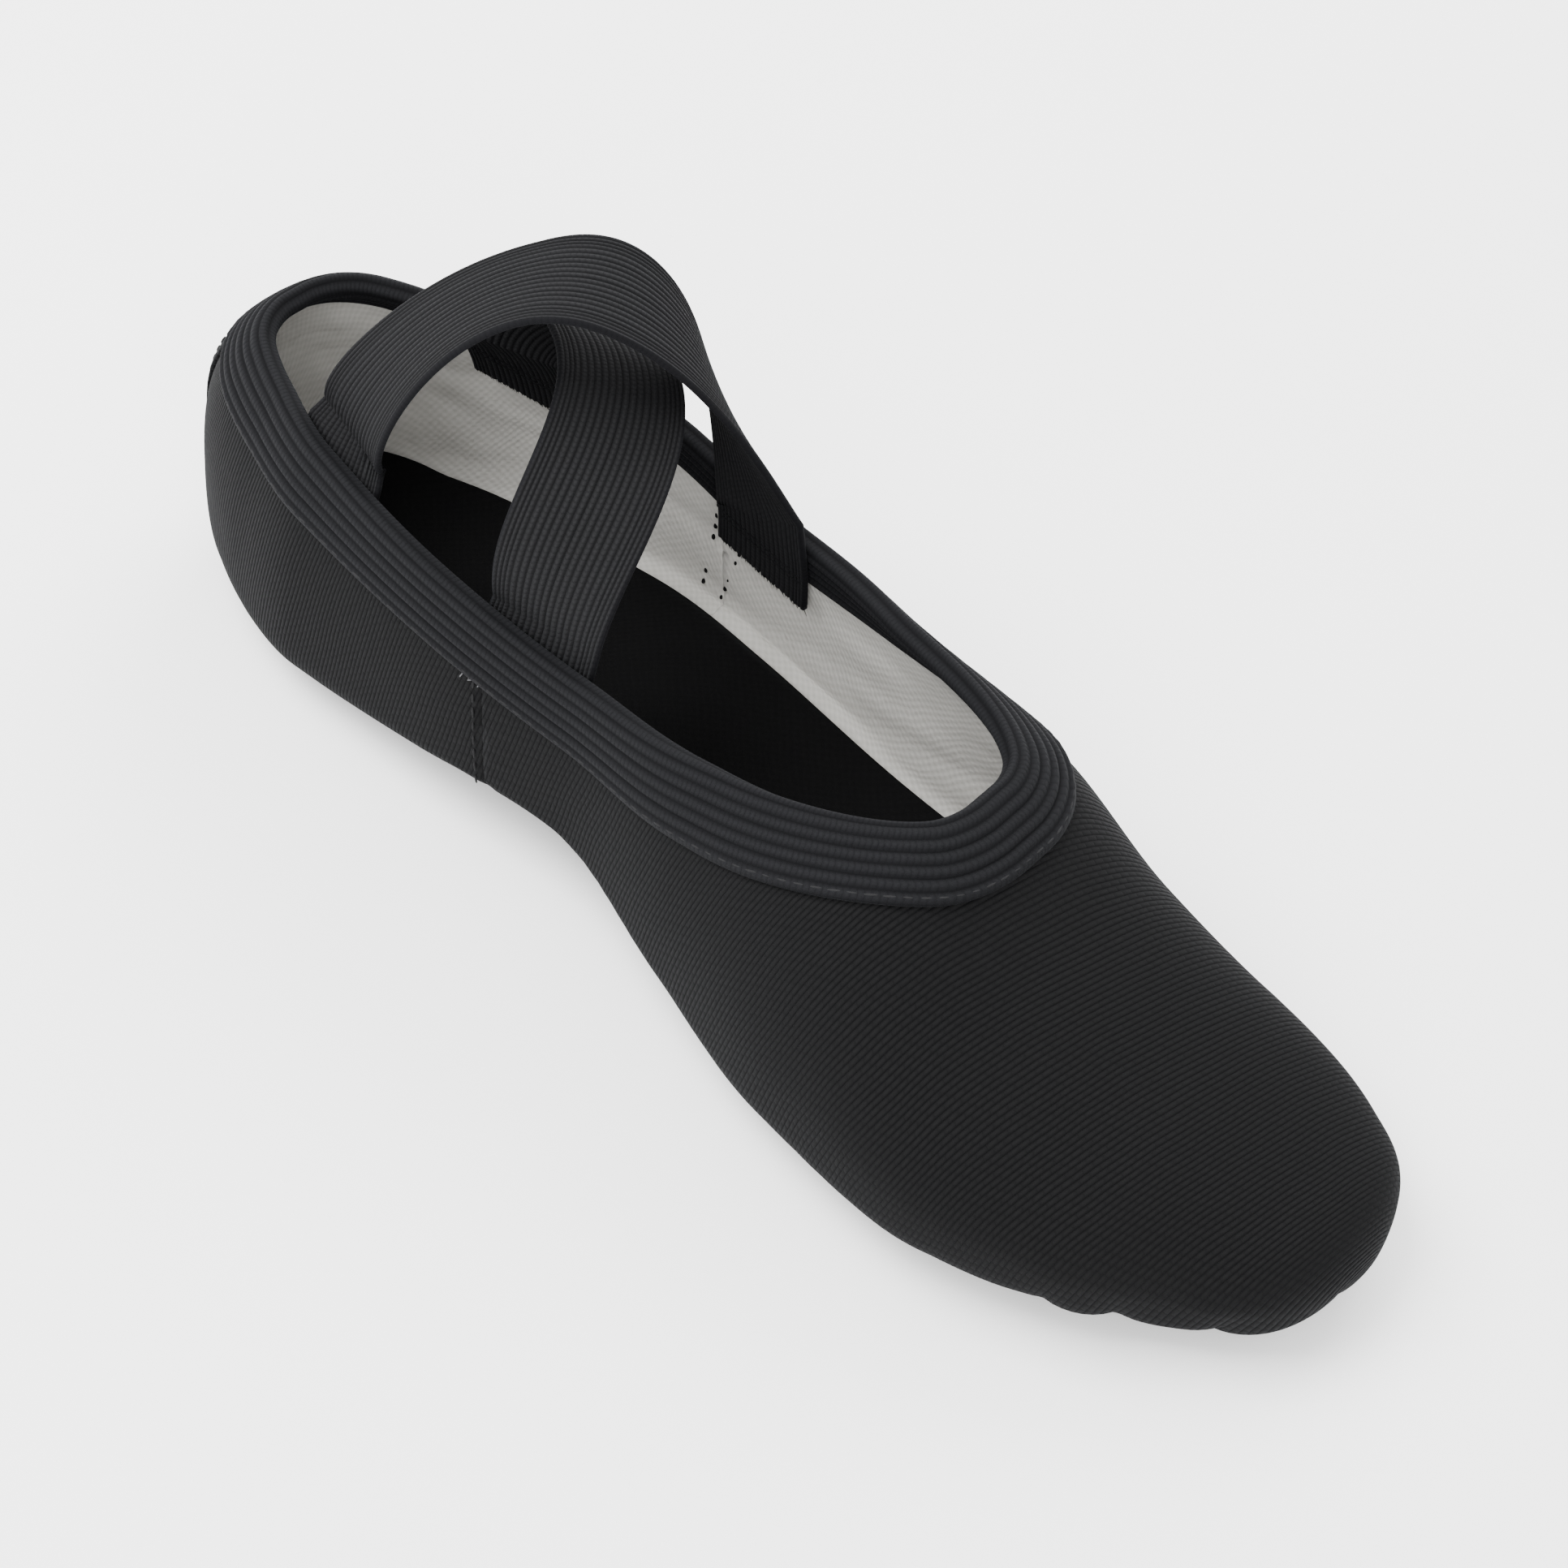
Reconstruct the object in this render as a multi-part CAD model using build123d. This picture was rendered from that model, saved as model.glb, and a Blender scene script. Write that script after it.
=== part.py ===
from build123d import *
import math
import os

# Ballet slipper for the right foot, in millimetres, flat on the plane z = 0.
# +X points to the toe, +Y to the wearer's left and +Z up. The origin is under
# the middle of the slipper. The pieces are made about the heel-to-toe line, and
# main() moves that line off the middle, because the outline is fuller on the right.

# Overall form
LENGTH = 240.0              # heel to toe
BALL_RIGHT = 44.3           # half widths, right and left of the centre line
BALL_LEFT = 28.5
WAIST_RIGHT = 26.5
WAIST_LEFT = 31.5
HEEL_RIGHT = 28.0
HEEL_LEFT = 32.5
TOE_RIGHT = 38.0
TOE_LEFT = 27.5
BACK_HEIGHT = 57.4          # topline above the floor at the centre back
SIDE_HEIGHT = 44.2          # at the side seams
THROAT_HEIGHT = 51.5        # over the instep
TOE_HEIGHT = 27.5           # of the vamp over the toes
ARCH_LIFT = 10.8            # rise of the sole between its two patches

# Layers
SUEDE = 1.5
CANVAS = 0.9
LINING = 0.5
ELASTIC = 1.0
INSOLE = 1.2
PAD = 2.0
TAPE = 0.8
LAYER_GAP = 0.08            # between pieces sewn to each other
JOINT_GAP = 0.3             # between pieces on different sides of a joint
TAIL_GAP = 0.6              # behind a strap's flat tail, which lies on a curved wall
THREAD = 0.35

# Trim
BINDING_OUTSIDE = 11.5      # depth of the folded binding on each face
BINDING_INSIDE = 7.5
THROAT_EASE_OUTSIDE = 4.2   # how much less of that depth stands upright at the throat
THROAT_EASE_INSIDE = 2.8
STRAP_WIDTH = 21.0
STRAP_TAIL = 13.0           # sewn length of a strap's end, below the topline
STRAP_ROOT = 8.0            # free length of a strap's end that bends, above the topline
TOPLINE_CLEAR = 2.0         # height above the topline where a strap leaves the wall
BACK_STRIP_WIDTH = 16.0
BINDING_ROW = 1.3           # rows of thread: up from the binding's lower edge,
PATCH_ROW = 4.5             # in from a patch's edge,
SEAM_ROW = 1.6              # behind a side seam
STRIP_ROW = 2.0             # and in from the back strip's edges
TACK_WIDTH = 14.0           # bar of thread across a strap's tail

# Places along the length, from the middle
SEAM_FOOT = -31.0           # side seams, at the floor and at the topline
SEAM_TOP = -37.0
HEEL_PATCH = (-112.0, -54.0, 23.0)      # rear end, front end, half width
FOREFOOT_PATCH = (4.0, 92.0, 31.0)
HEEL_PAD = (-108.0, -62.0, 19.0)
FOREFOOT_PAD = (10.0, 86.0, 26.0)
PATCH_SHIFT = -6.0          # the forefoot patch lies this far to the right of the centre line

# End radii of the form: in plan, from the side and under the sole
HEEL_PLAN = 26.0
TOE_PLAN = 34.0
HEEL_DOME = 20.0
TOE_DOME = 46.0
HEEL_UNDER = 16.0
TOE_UNDER = 14.0
LOWER_EXPONENT = 3.6        # squareness of the section below and above its widest line
UPPER_EXPONENT = 2.3

# Stations from heel (0) to toe (1)
STATIONS = (0.0, 0.08, 0.18, 0.30, 0.42, 0.54, 0.66, 0.76, 0.86, 0.94, 1.0)
RIGHT = (18.0, 22.0, HEEL_RIGHT, 28.0, WAIST_RIGHT, 34.0, 42.0, BALL_RIGHT, TOE_RIGHT, 30.5, 30.5)
LEFT = (22.0, 26.0, HEEL_LEFT, 34.5, WAIST_LEFT, 30.5, 30.3, BALL_LEFT, TOE_LEFT, 29.5, 36.5)
CROWN_RISE = (-7.0, 4.0, 13.5, 26.0, 26.0, 9.5, 1.0)     # closed form above the topline
TOPLINE = (
    BACK_HEIGHT, BACK_HEIGHT - 4.9, BACK_HEIGHT - 6.9, SIDE_HEIGHT + 3.2, SIDE_HEIGHT,
    THROAT_HEIGHT - 4.0, THROAT_HEIGHT, THROAT_HEIGHT, THROAT_HEIGHT, THROAT_HEIGHT, THROAT_HEIGHT,
)
CROWN = tuple(top + rise for top, rise in zip(TOPLINE, CROWN_RISE)) + (
    TOE_HEIGHT + 10.0, TOE_HEIGHT, TOE_HEIGHT - 3.5, TOE_HEIGHT + 3.5,
)
CENTRE_LINE = (max(RIGHT) - max(LEFT)) / 2      # the heel-to-toe line, left of the middle
WIDEST = ((0.0, 26.0), (0.12, 15.0), (0.85, 15.0), (1.0, 10.0))    # height of the widest line
ARCH_PLACE = 0.40
ARCH_SPREAD = 0.13

QUARTER_POINTS = 9          # points on each quarter of a section
SECTIONS = 25
END_FLAT = 0.15             # the form's ends are cut flat this far inside its tips
PATCH_RISE = 9.0            # height that a patch may climb up the form
REACH = 200.0               # larger than any piece, for cutting blocks


def along(values, u):
    """Smooth value at u from one value per station, with no overshoot."""
    steps = [b - a for a, b in zip(STATIONS, STATIONS[1:])]
    rises = [(b - a) / h for a, b, h in zip(values, values[1:], steps)]
    i = max(0, min(len(steps) - 1, sum(1 for s in STATIONS[1:] if s < u)))
    left = station_slope(rises, steps, i)
    right = station_slope(rises, steps, i + 1)
    h = steps[i]
    t = (u - STATIONS[i]) / h
    return (
        values[i] * (1 + 2 * t) * (1 - t) ** 2
        + values[i + 1] * t * t * (3 - 2 * t)
        + h * left * t * (1 - t) ** 2
        + h * right * t * t * (t - 1)
    )


def station_slope(rises, steps, i):
    """Slope at a station: the weighted harmonic mean of its two neighbours' rises."""
    if i == 0:
        return rises[0]
    if i == len(rises):
        return rises[-1]
    before, after = rises[i - 1], rises[i]
    if before * after <= 0:
        return 0.0
    w1 = 2 * steps[i] + steps[i - 1]
    w2 = steps[i] + 2 * steps[i - 1]
    return (w1 + w2) / (w1 / before + w2 / after)


def end_round(x, inset, heel_radius, toe_radius):
    """One along the form, falling to zero as a quarter ellipse at each end."""
    tip = LENGTH / 2 - inset
    heel = heel_radius - inset
    toe = toe_radius - inset
    depth = max(0.0, (heel - tip - x) / heel, (x - tip + toe) / toe)
    return math.sqrt(max(0.0, 1 - depth * depth))


def widest_height(u):
    for (u0, z0), (u1, z1) in zip(WIDEST, WIDEST[1:]):
        if u <= u1:
            return z0 + (z1 - z0) * (u - u0) / (u1 - u0)
    return WIDEST[-1][1]


def section_sizes(x, inset):
    """Right and left half widths, lowest, widest and highest heights of a section."""
    u = min(1.0, max(0.0, x / LENGTH + 0.5))
    plan = end_round(x, inset, HEEL_PLAN, TOE_PLAN)
    right = (along(RIGHT, u) - inset) * plan
    left = (along(LEFT, u) - inset) * plan
    middle = widest_height(u)
    rise = along(CROWN, u) - middle - inset
    crown = middle + rise * end_round(x, inset, HEEL_DOME, TOE_DOME)
    lift = ARCH_LIFT * math.exp(-(((u - ARCH_PLACE) / ARCH_SPREAD) ** 2))
    depth = middle - SUEDE - inset - lift
    floor = middle - depth * end_round(x, inset, HEEL_UNDER, TOE_UNDER)
    return right, left, floor, middle, crown


def section_point(x, inset, turn):
    right, left, floor, middle, crown = section_sizes(x, inset)
    c = math.cos(turn)
    s = math.sin(turn)
    exponent = UPPER_EXPONENT if s > 0 else LOWER_EXPONENT
    reach = (abs(c) ** exponent + abs(s) ** exponent) ** (-1 / exponent)
    half = left if c > 0 else right
    height = crown - middle if s > 0 else middle - floor
    return (x, half * c * reach, middle + height * s * reach)


def topline(x):
    return along(TOPLINE, min(1.0, max(0.0, x / LENGTH + 0.5)))


def wall(x, z, side, inset):
    """Y of the form's side at a height above its widest line; side is +1 left, -1 right."""
    right, left, _, middle, crown = section_sizes(x, inset)
    share = min(1.0, max(0.0, (z - middle) / (crown - middle)))
    half = left if side > 0 else right
    return side * half * (1 - share ** UPPER_EXPONENT) ** (1 / UPPER_EXPONENT)


def section_wire(x, inset):
    """Closed section from four curves that meet on its highest, lowest and widest points."""
    edges = []
    for quarter in range(4):
        start = quarter * math.pi / 2
        shares = [i / QUARTER_POINTS for i in range(QUARTER_POINTS + 1)]
        turns = [start + math.pi / 2 * share for share in shares]
        points = [section_point(x, inset, turn) for turn in turns]
        tangents = [(0, -math.sin(turn), math.cos(turn)) for turn in (turns[0], turns[-1])]
        edges.append(Edge.make_spline(points, tangents=tangents, parameters=shares))
    return Wire(edges)


def form(inset):
    """Closed solid of the slipper's outer form, moved inwards by the inset."""
    tip = LENGTH / 2 - inset
    first = math.acos(1 - END_FLAT / tip)
    sections = []
    for i in range(SECTIONS + 1):
        x = -tip * math.cos(first + (math.pi - 2 * first) * i / SECTIONS)
        sections.append(section_wire(x, inset))
    return Solid.make_loft(sections)


def skin(outer, thick):
    """Closed wall between the form moved in by the outer inset and a smaller one."""
    return form(outer) - form(outer + thick)


def side_block(low, high):
    """Block between two heights of a side profile: low and high are functions of x or None."""
    half = LENGTH / 2 + 6
    xs = [-half + 2 * half * i / 40 for i in range(41)]
    top = [(x, high(x)) for x in xs] if high else [(-half, REACH), (half, REACH)]
    bottom = [(x, low(x)) for x in xs] if low else [(-half, -REACH), (half, -REACH)]
    with BuildSketch(Plane.XZ) as outline:
        with BuildLine():
            upper = Spline(*top) if high else Line(*top)
            lower = Spline(*bottom) if low else Line(*bottom)
            Line(upper @ 0, lower @ 0)
            Line(upper @ 1, lower @ 1)
        make_face()
    return extrude(outline.sketch, amount=REACH / 2, both=True)


def below(offset):
    return side_block(None, lambda x: topline(x) + offset)


def raised(edge, rise):
    """The same edge, higher by the rise."""
    return lambda x: edge(x) + rise


def ease(x, amount):
    """Rises smoothly to the amount over the last stretch before the throat."""
    t = min(1.0, max(0.0, (x - throat_place() + 28) / 28))
    return amount * t * t * (3 - 2 * t)


def throat_place():
    """X where the closed form drops below the topline."""
    x = 0.0
    while section_sizes(x, 0)[4] > topline(x):
        x += 0.5
    return x


def seam_block(front, gap):
    """Everything ahead of the side seams' plane, or behind it, short of it by the gap."""
    lean = (SEAM_TOP - SEAM_FOOT) / SIDE_HEIGHT
    edge = gap if front else -gap
    far = REACH if front else -REACH
    foot = (SEAM_FOOT - lean * REACH + edge, -REACH)
    top = (SEAM_FOOT + lean * REACH + edge, REACH)
    with BuildSketch(Plane.XZ) as outline:
        with BuildLine():
            Polyline(foot, (far, -REACH), (far, REACH), top, close=True)
        make_face()
    return extrude(outline.sketch, amount=REACH, both=True)


def half_block(side):
    """Everything to the left of the centre plane (+1) or to the right (-1)."""
    block = Box(2 * REACH, REACH, 2 * REACH)
    return Pos(0, side * (REACH + LAYER_GAP) / 2, 0) * block


def egg(place, grow, low, high):
    """Upright block on an egg-shaped outline, wider at its front."""
    rear, front, half = place
    middle = (rear + front) / 2
    reach = (front - rear) / 2 + grow
    points = []
    for i in range(24):
        turn = 2 * math.pi * i / 24
        width = (half + grow) * (1 + 0.10 * math.cos(turn))
        points.append((middle + reach * math.cos(turn), width * math.sin(turn)))
    with BuildSketch(Plane.XY.offset(low)) as outline:
        with BuildLine():
            Spline(*points, periodic=True)
        make_face()
    return extrude(outline.sketch, amount=high - low)


def patch_ring(place, shift, spread):
    """Upright ring about a patch's row of thread, wider than the thread by the spread."""
    half = THREAD / 2 + spread
    ring = egg(place, half - PATCH_ROW, 0, PATCH_RISE) - egg(place, -half - PATCH_ROW, -1, REACH)
    return Pos(0, shift, 0) * ring


def sole_patch(place, shift):
    """Suede patch: flat on the floor, following the form above, grooved for its thread."""
    sag = 0.3
    shell = skin(-SUEDE - sag, SUEDE + sag - LAYER_GAP)
    groove = patch_ring(place, shift, LAYER_GAP) - form(2 * LAYER_GAP + THREAD - SUEDE)
    return (shell & (Pos(0, shift, 0) * egg(place, 0, 0, PATCH_RISE))) - groove


def patch_stitching(place, shift):
    return skin(LAYER_GAP - SUEDE, THREAD) & patch_ring(place, shift, 0)


def floor_layer(outer, thick):
    """The lowest part of a layer inside the form, without its walls and roof."""
    rise = 5.0
    deep = outer + thick
    lowest = side_block(None, lambda x: section_sizes(x, deep)[2] + rise)
    return skin(outer, thick) & lowest


def inner_slab(place, shift, outer, thick):
    """Layer on the floor of the slipper, inside an egg-shaped outline."""
    return floor_layer(outer, thick) & (Pos(0, shift, 0) * egg(place, 0, 0, REACH / 4))


def insole_sock():
    """One layer over both pads, heel to toe, inside the walls."""
    outer = CANVAS + LAYER_GAP + LINING + LAYER_GAP + PAD + LAYER_GAP
    margin = outer + INSOLE + 2.0
    half = LENGTH / 2 - margin
    right = []
    left = []
    for i in range(13):
        x = half * math.cos(math.pi * i / 12)
        sizes = section_sizes(x, margin)
        right.append((x, -sizes[0]))
        left.append((x, sizes[1]))
    points = right[:-1] + left[:0:-1]
    with BuildSketch() as outline:
        with BuildLine():
            Spline(*points, periodic=True)
        make_face()
    return floor_layer(outer, INSOLE) & extrude(outline.sketch, amount=REACH / 4)


def outer_edge(x):
    """Height of the binding's edge outside."""
    return topline(x) - BINDING_OUTSIDE + ease(x, THROAT_EASE_OUTSIDE)


def inner_edge(x):
    """Height of the binding's edge inside."""
    return topline(x) - BINDING_INSIDE + ease(x, THROAT_EASE_INSIDE)


def binding():
    """Elastic folded over the topline, outside and inside."""
    over = LAYER_GAP + ELASTIC
    inside = CANVAS + LAYER_GAP + LINING + LAYER_GAP
    block = form(-over) & side_block(outer_edge, raised(topline, over))
    layers = form(-LAYER_GAP) & below(LAYER_GAP)
    hollow = form(inside) & side_block(inner_edge, None)
    return block - (layers - hollow) - form(inside + ELASTIC)


def back_strip():
    """Tape over the centre back seam, from the heel patch up to the binding."""
    shell = skin(-LAYER_GAP - TAPE, TAPE)
    strip = Pos(-LENGTH / 2, 0, 0) * Box(LENGTH / 2, BACK_STRIP_WIDTH, REACH)
    patch = egg(HEEL_PATCH, LAYER_GAP * 2, -REACH, REACH / 8)
    front = Pos(REACH / 2 - LENGTH / 2 + HEEL_UNDER, 0, 0) * Box(REACH, REACH, REACH)
    return (shell & strip & side_block(None, raised(outer_edge, -LAYER_GAP))) - patch - front


def thread_row(under, block):
    """Thread within the block, just outside what lies on the form."""
    outer = -under - LAYER_GAP - THREAD
    return (form(outer) & block) - form(outer + THREAD)


def binding_stitching():
    row = raised(outer_edge, BINDING_ROW)
    return thread_row(LAYER_GAP + ELASTIC, side_block(row, raised(row, THREAD)))


def seam_stitching(side):
    """Row of thread behind a side seam, from the widest line up to the binding."""
    strip = seam_block(False, SEAM_ROW) - seam_block(False, SEAM_ROW + THREAD)
    heights = side_block(lambda x: widest_height(x / LENGTH + 0.5), raised(outer_edge, -THREAD))
    return thread_row(0, strip & half_block(side) & heights)


def back_strip_stitching():
    """Two rows of thread up the back strip, near its edges."""
    heights = side_block(lambda x: BACK_HEIGHT / 6, raised(outer_edge, -THREAD))
    rows = []
    for side in (-1, 1):
        place = side * (BACK_STRIP_WIDTH / 2 - STRIP_ROW)
        plank = Pos(-LENGTH / 2, place, 0) * Box(LENGTH / 3, THREAD, REACH)
        rows.append(thread_row(LAYER_GAP + TAPE, plank & heights))
    return Compound(rows)


def bezier(points, t):
    while len(points) > 1:
        points = [a + (b - a) * t for a, b in zip(points, points[1:])]
    return points[0]


def wall_inset():
    """Depth from the outer form to the outer face of a strap sewn inside the binding."""
    return CANVAS + 2 * LAYER_GAP + LINING + ELASTIC + TAIL_GAP


def wall_chord(x, drop, side):
    """Middle and direction of the straight line across a strap laid on the inner wall."""
    half = STRAP_WIDTH / 2
    ends = []
    for end in (x - half, x + half):
        z = topline(end) - drop
        ends.append(Vector(end, wall(end, z, side, wall_inset() + ELASTIC / 2), z))
    return (ends[0] + ends[1]) * 0.5, (ends[1] - ends[0]).normalized()


class Strap:
    """Elastic strap from the right topline over the instep to the left topline."""

    def __init__(self, right_end, right_rise, top, left_rise, left_end, top_width):
        self.ends = (right_end, left_end)
        start = wall_chord(right_end, -TOPLINE_CLEAR, -1)[0]
        finish = wall_chord(left_end, -TOPLINE_CLEAR, 1)[0]
        self.route = [
            start, start + Vector(*right_rise), Vector(*top), finish + Vector(*left_rise), finish,
        ]
        self.top_width = Vector(*top_width).normalized()

    def frame(self, t):
        """Middle, width direction and thickness direction at t."""
        spot = bezier(self.route, t)
        ahead = (bezier(self.route, t + 0.001) - bezier(self.route, t - 0.001)).normalized()
        near = max(0.0, 1 - 2.2 * t) ** 1.2
        far = max(0.0, 2.2 * t - 1.2) ** 1.2
        width = (
            wall_chord(self.ends[0], -TOPLINE_CLEAR, -1)[1] * near
            + wall_chord(self.ends[1], -TOPLINE_CLEAR, 1)[1] * far
            + self.top_width * (1 - near - far)
        )
        width = (width - ahead * width.dot(ahead)).normalized()
        return spot, width, ahead.cross(width).normalized()

    def tail_frame(self, end, drop):
        side = -1 if end == 0 else 1
        spot, width = wall_chord(self.ends[end], drop, side)
        higher = wall_chord(self.ends[end], drop - 1, side)[0]
        ahead = (higher - spot) * (1 if end == 0 else -1)
        ahead = (ahead - width * ahead.dot(width)).normalized()
        return spot, width, ahead.cross(width).normalized()

    def band(self, frames, straight):
        """Solid ribbon through the frames, smooth or with straight stretches."""
        sections = []
        for spot, width, normal in frames:
            w = width * (STRAP_WIDTH / 2)
            n = normal * (ELASTIC / 2)
            corners = [spot - w - n, spot + w - n, spot + w + n, spot - w + n]
            sections.append(Wire.make_polygon(corners, close=True))
        return Solid.make_loft(sections, straight)

    def root_t(self, end):
        """Where along the route the free span begins, measured from one end."""
        t = 0.0 if end == 0 else 1.0
        step = 0.002 if end == 0 else -0.002
        home = bezier(self.route, t)
        while (bezier(self.route, t) - home).length < STRAP_ROOT:
            t += step
        return t

    def span(self):
        low = self.root_t(0)
        high = self.root_t(1)
        count = 12
        frames = [self.frame(low + (high - low) * i / count) for i in range(count + 1)]
        return self.band(frames, False)

    def end_piece(self, end):
        gap = 0.002
        root = self.root_t(end)
        edge = root - gap if end == 0 else root + gap
        home = 0.0 if end == 0 else 1.0
        tail = [self.tail_frame(end, drop) for drop in (STRAP_TAIL, STRAP_TAIL / 2, 0)]
        rise = [self.frame(home + (edge - home) * i / 4) for i in range(5)]
        return self.band(tail + rise, True)


def strap_tacks():
    """Bar of thread across the middle of each strap's sewn tail, on its inner face."""
    bars = []
    for strap in (OVER, UNDER):
        for end, side in ((0, -1), (1, 1)):
            spot, width, normal = strap.tail_frame(end, STRAP_TAIL / 2)
            inward = normal if normal.Y * side < 0 else normal * -1
            middle = spot + inward * (ELASTIC / 2 + LAYER_GAP + THREAD / 2)
            bars.append(Plane(middle, x_dir=width, z_dir=inward) * Box(TACK_WIDTH, THREAD, THREAD))
    return Compound(bars)


OVER = Strap(-76.0, (-1.0, -1.0, 10.0), (-42.0, 0.5, 131.0), (-13.0, 0.0, 26.0), -24.0, (0.45, -0.85, 0.0))
UNDER = Strap(-29.5, (-1.0, 0.0, 28.0), (-29.5, 26.0, 79.0), (2.0, 0.0, 20.0), -76.0, (0.7, 0.6, -0.3))


def parts():
    """Every node's shape by name."""
    made = {}
    inside = CANVAS + LAYER_GAP
    trimmed = below(0)
    front = seam_block(True, 0)
    rear = seam_block(False, JOINT_GAP)
    canvas = skin(0, CANVAS) & trimmed
    lining = skin(inside, LINING) & trimmed
    made["vamp_canvas"] = canvas & front
    made["quarter_canvas_left"] = canvas & rear & half_block(1)
    made["quarter_canvas_right"] = canvas & rear & half_block(-1)
    made["vamp_lining"] = lining & front
    made["quarter_lining"] = lining & rear
    made["topline_binding"] = binding()
    made["back_strip"] = back_strip()
    made["forefoot_sole_patch"] = sole_patch(FOREFOOT_PATCH, PATCH_SHIFT)
    made["heel_sole_patch"] = sole_patch(HEEL_PATCH, 0)
    pad_depth = inside + LINING + LAYER_GAP
    made["forefoot_pad"] = inner_slab(FOREFOOT_PAD, PATCH_SHIFT, pad_depth, PAD)
    made["heel_pad"] = inner_slab(HEEL_PAD, 0, pad_depth, PAD)
    made["insole_sock"] = insole_sock()
    made["over_strap"] = OVER.span()
    made["over_strap_ends"] = Compound([OVER.end_piece(0), OVER.end_piece(1)])
    made["under_strap"] = UNDER.span()
    made["under_strap_ends"] = Compound([UNDER.end_piece(0), UNDER.end_piece(1)])
    made["binding_stitching"] = binding_stitching()
    made["side_seam_stitching_left"] = seam_stitching(1)
    made["side_seam_stitching_right"] = seam_stitching(-1)
    made["back_strip_stitching"] = back_strip_stitching()
    made["forefoot_patch_stitching"] = patch_stitching(FOREFOOT_PATCH, PATCH_SHIFT)
    made["heel_patch_stitching"] = patch_stitching(HEEL_PATCH, 0)
    made["strap_tacks"] = strap_tacks()
    return made


def main():
    os.makedirs("parts", exist_ok=True)
    for name, made in parts().items():
        shape = Pos(0, CENTRE_LINE, 0) * made
        export_step(shape, "parts/" + name + ".step")
        print(name, round(shape.volume, 1))


main()
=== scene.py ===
import logging
import math
from collections.abc import Callable, Sequence
from dataclasses import dataclass, field
from enum import Enum

import bmesh
import bpy
import numpy as np
from mathutils import Euler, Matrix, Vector, noise


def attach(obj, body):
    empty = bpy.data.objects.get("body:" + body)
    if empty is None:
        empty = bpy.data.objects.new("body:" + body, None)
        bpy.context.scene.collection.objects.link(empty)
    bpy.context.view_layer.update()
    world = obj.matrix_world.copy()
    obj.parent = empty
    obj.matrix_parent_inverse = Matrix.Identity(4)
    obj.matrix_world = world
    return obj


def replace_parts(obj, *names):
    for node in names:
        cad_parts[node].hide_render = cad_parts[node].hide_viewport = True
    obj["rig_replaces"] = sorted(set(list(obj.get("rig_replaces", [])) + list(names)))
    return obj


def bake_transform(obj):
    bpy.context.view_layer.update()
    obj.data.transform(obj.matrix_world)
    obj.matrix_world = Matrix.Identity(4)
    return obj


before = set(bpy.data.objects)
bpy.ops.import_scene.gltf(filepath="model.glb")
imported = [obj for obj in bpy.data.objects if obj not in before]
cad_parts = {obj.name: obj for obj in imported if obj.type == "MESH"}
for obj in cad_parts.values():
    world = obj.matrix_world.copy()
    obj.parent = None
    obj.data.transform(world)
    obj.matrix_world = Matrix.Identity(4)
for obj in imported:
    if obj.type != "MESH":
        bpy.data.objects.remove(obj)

# Looks of the ballet slipper. The form is the CAD's, in millimetres about the
# heel-to-toe line; meshes are made in metres in the shared frame.

log = logging.getLogger("slipper")
Array = np.ndarray

MM = 0.001
LENGTH = 240.0
CENTRE_LINE = 4.9
SUEDE = 1.5
CANVAS = 0.9
LINING = 0.5
ELASTIC = 1.0
INSOLE = 1.2
PAD = 2.0
TAPE = 0.8
LAYER_GAP = 0.08
TAIL_GAP = 0.6
BINDING_OUTSIDE = 11.5
BINDING_INSIDE = 7.5
STRAP_WIDTH = 21.0
STRAP_TAIL = 13.0
TOPLINE_CLEAR = 2.0
SEAM_ROW = 1.6
SEAM_ROW_ENDS = (33.5, 14.0)
BACK_STRIP_WIDTH = 16.0
SEAM_FOOT = -31.0
SEAM_TOP = -37.0
SEAM_TOP_HEIGHT = 44.2
HEEL_PATCH = (-112.0, -54.0, 23.0)
FOREFOOT_PATCH = (4.0, 92.0, 31.0)
HEEL_PAD = (-108.0, -62.0, 19.0)
FOREFOOT_PAD = (10.0, 86.0, 26.0)
PATCH_SHIFT = -6.0
PATCH_ROW = 4.5
LINING_DEPTH = CANVAS + LAYER_GAP
PAD_DEPTH = LINING_DEPTH + LINING + LAYER_GAP
SOCK_DEPTH = PAD_DEPTH + PAD + LAYER_GAP


def along(stations: Sequence[float], values: Sequence[float], u: float) -> float:
    """Smooth value between stations, with no overshoot.

    Args:
        stations: Rising places from 0 to 1.
        values: One value per station.
        u: Place to read.

    Returns:
        The value of a monotone cubic curve at u.
    """
    steps = [b - a for a, b in zip(stations, stations[1:])]
    rises = [(b - a) / h for a, b, h in zip(values, values[1:], steps)]

    def slope(i: int) -> float:
        """Weighted harmonic mean of the rises beside a station."""
        if i in (0, len(rises)):
            return rises[min(i, len(rises) - 1)]
        before, after = rises[i - 1], rises[i]
        if before * after <= 0:
            return 0.0
        w1, w2 = 2 * steps[i] + steps[i - 1], steps[i] + 2 * steps[i - 1]
        return (w1 + w2) / (w1 / before + w2 / after)

    i = max(0, min(len(steps) - 1, sum(1 for s in stations[1:] if s < u)))
    h = steps[i]
    t = (u - stations[i]) / h
    return (values[i] * (1 + 2 * t) * (1 - t) ** 2 + values[i + 1] * t * t * (3 - 2 * t)
            + h * slope(i) * t * (1 - t) ** 2 + h * slope(i + 1) * t * t * (t - 1))


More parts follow.
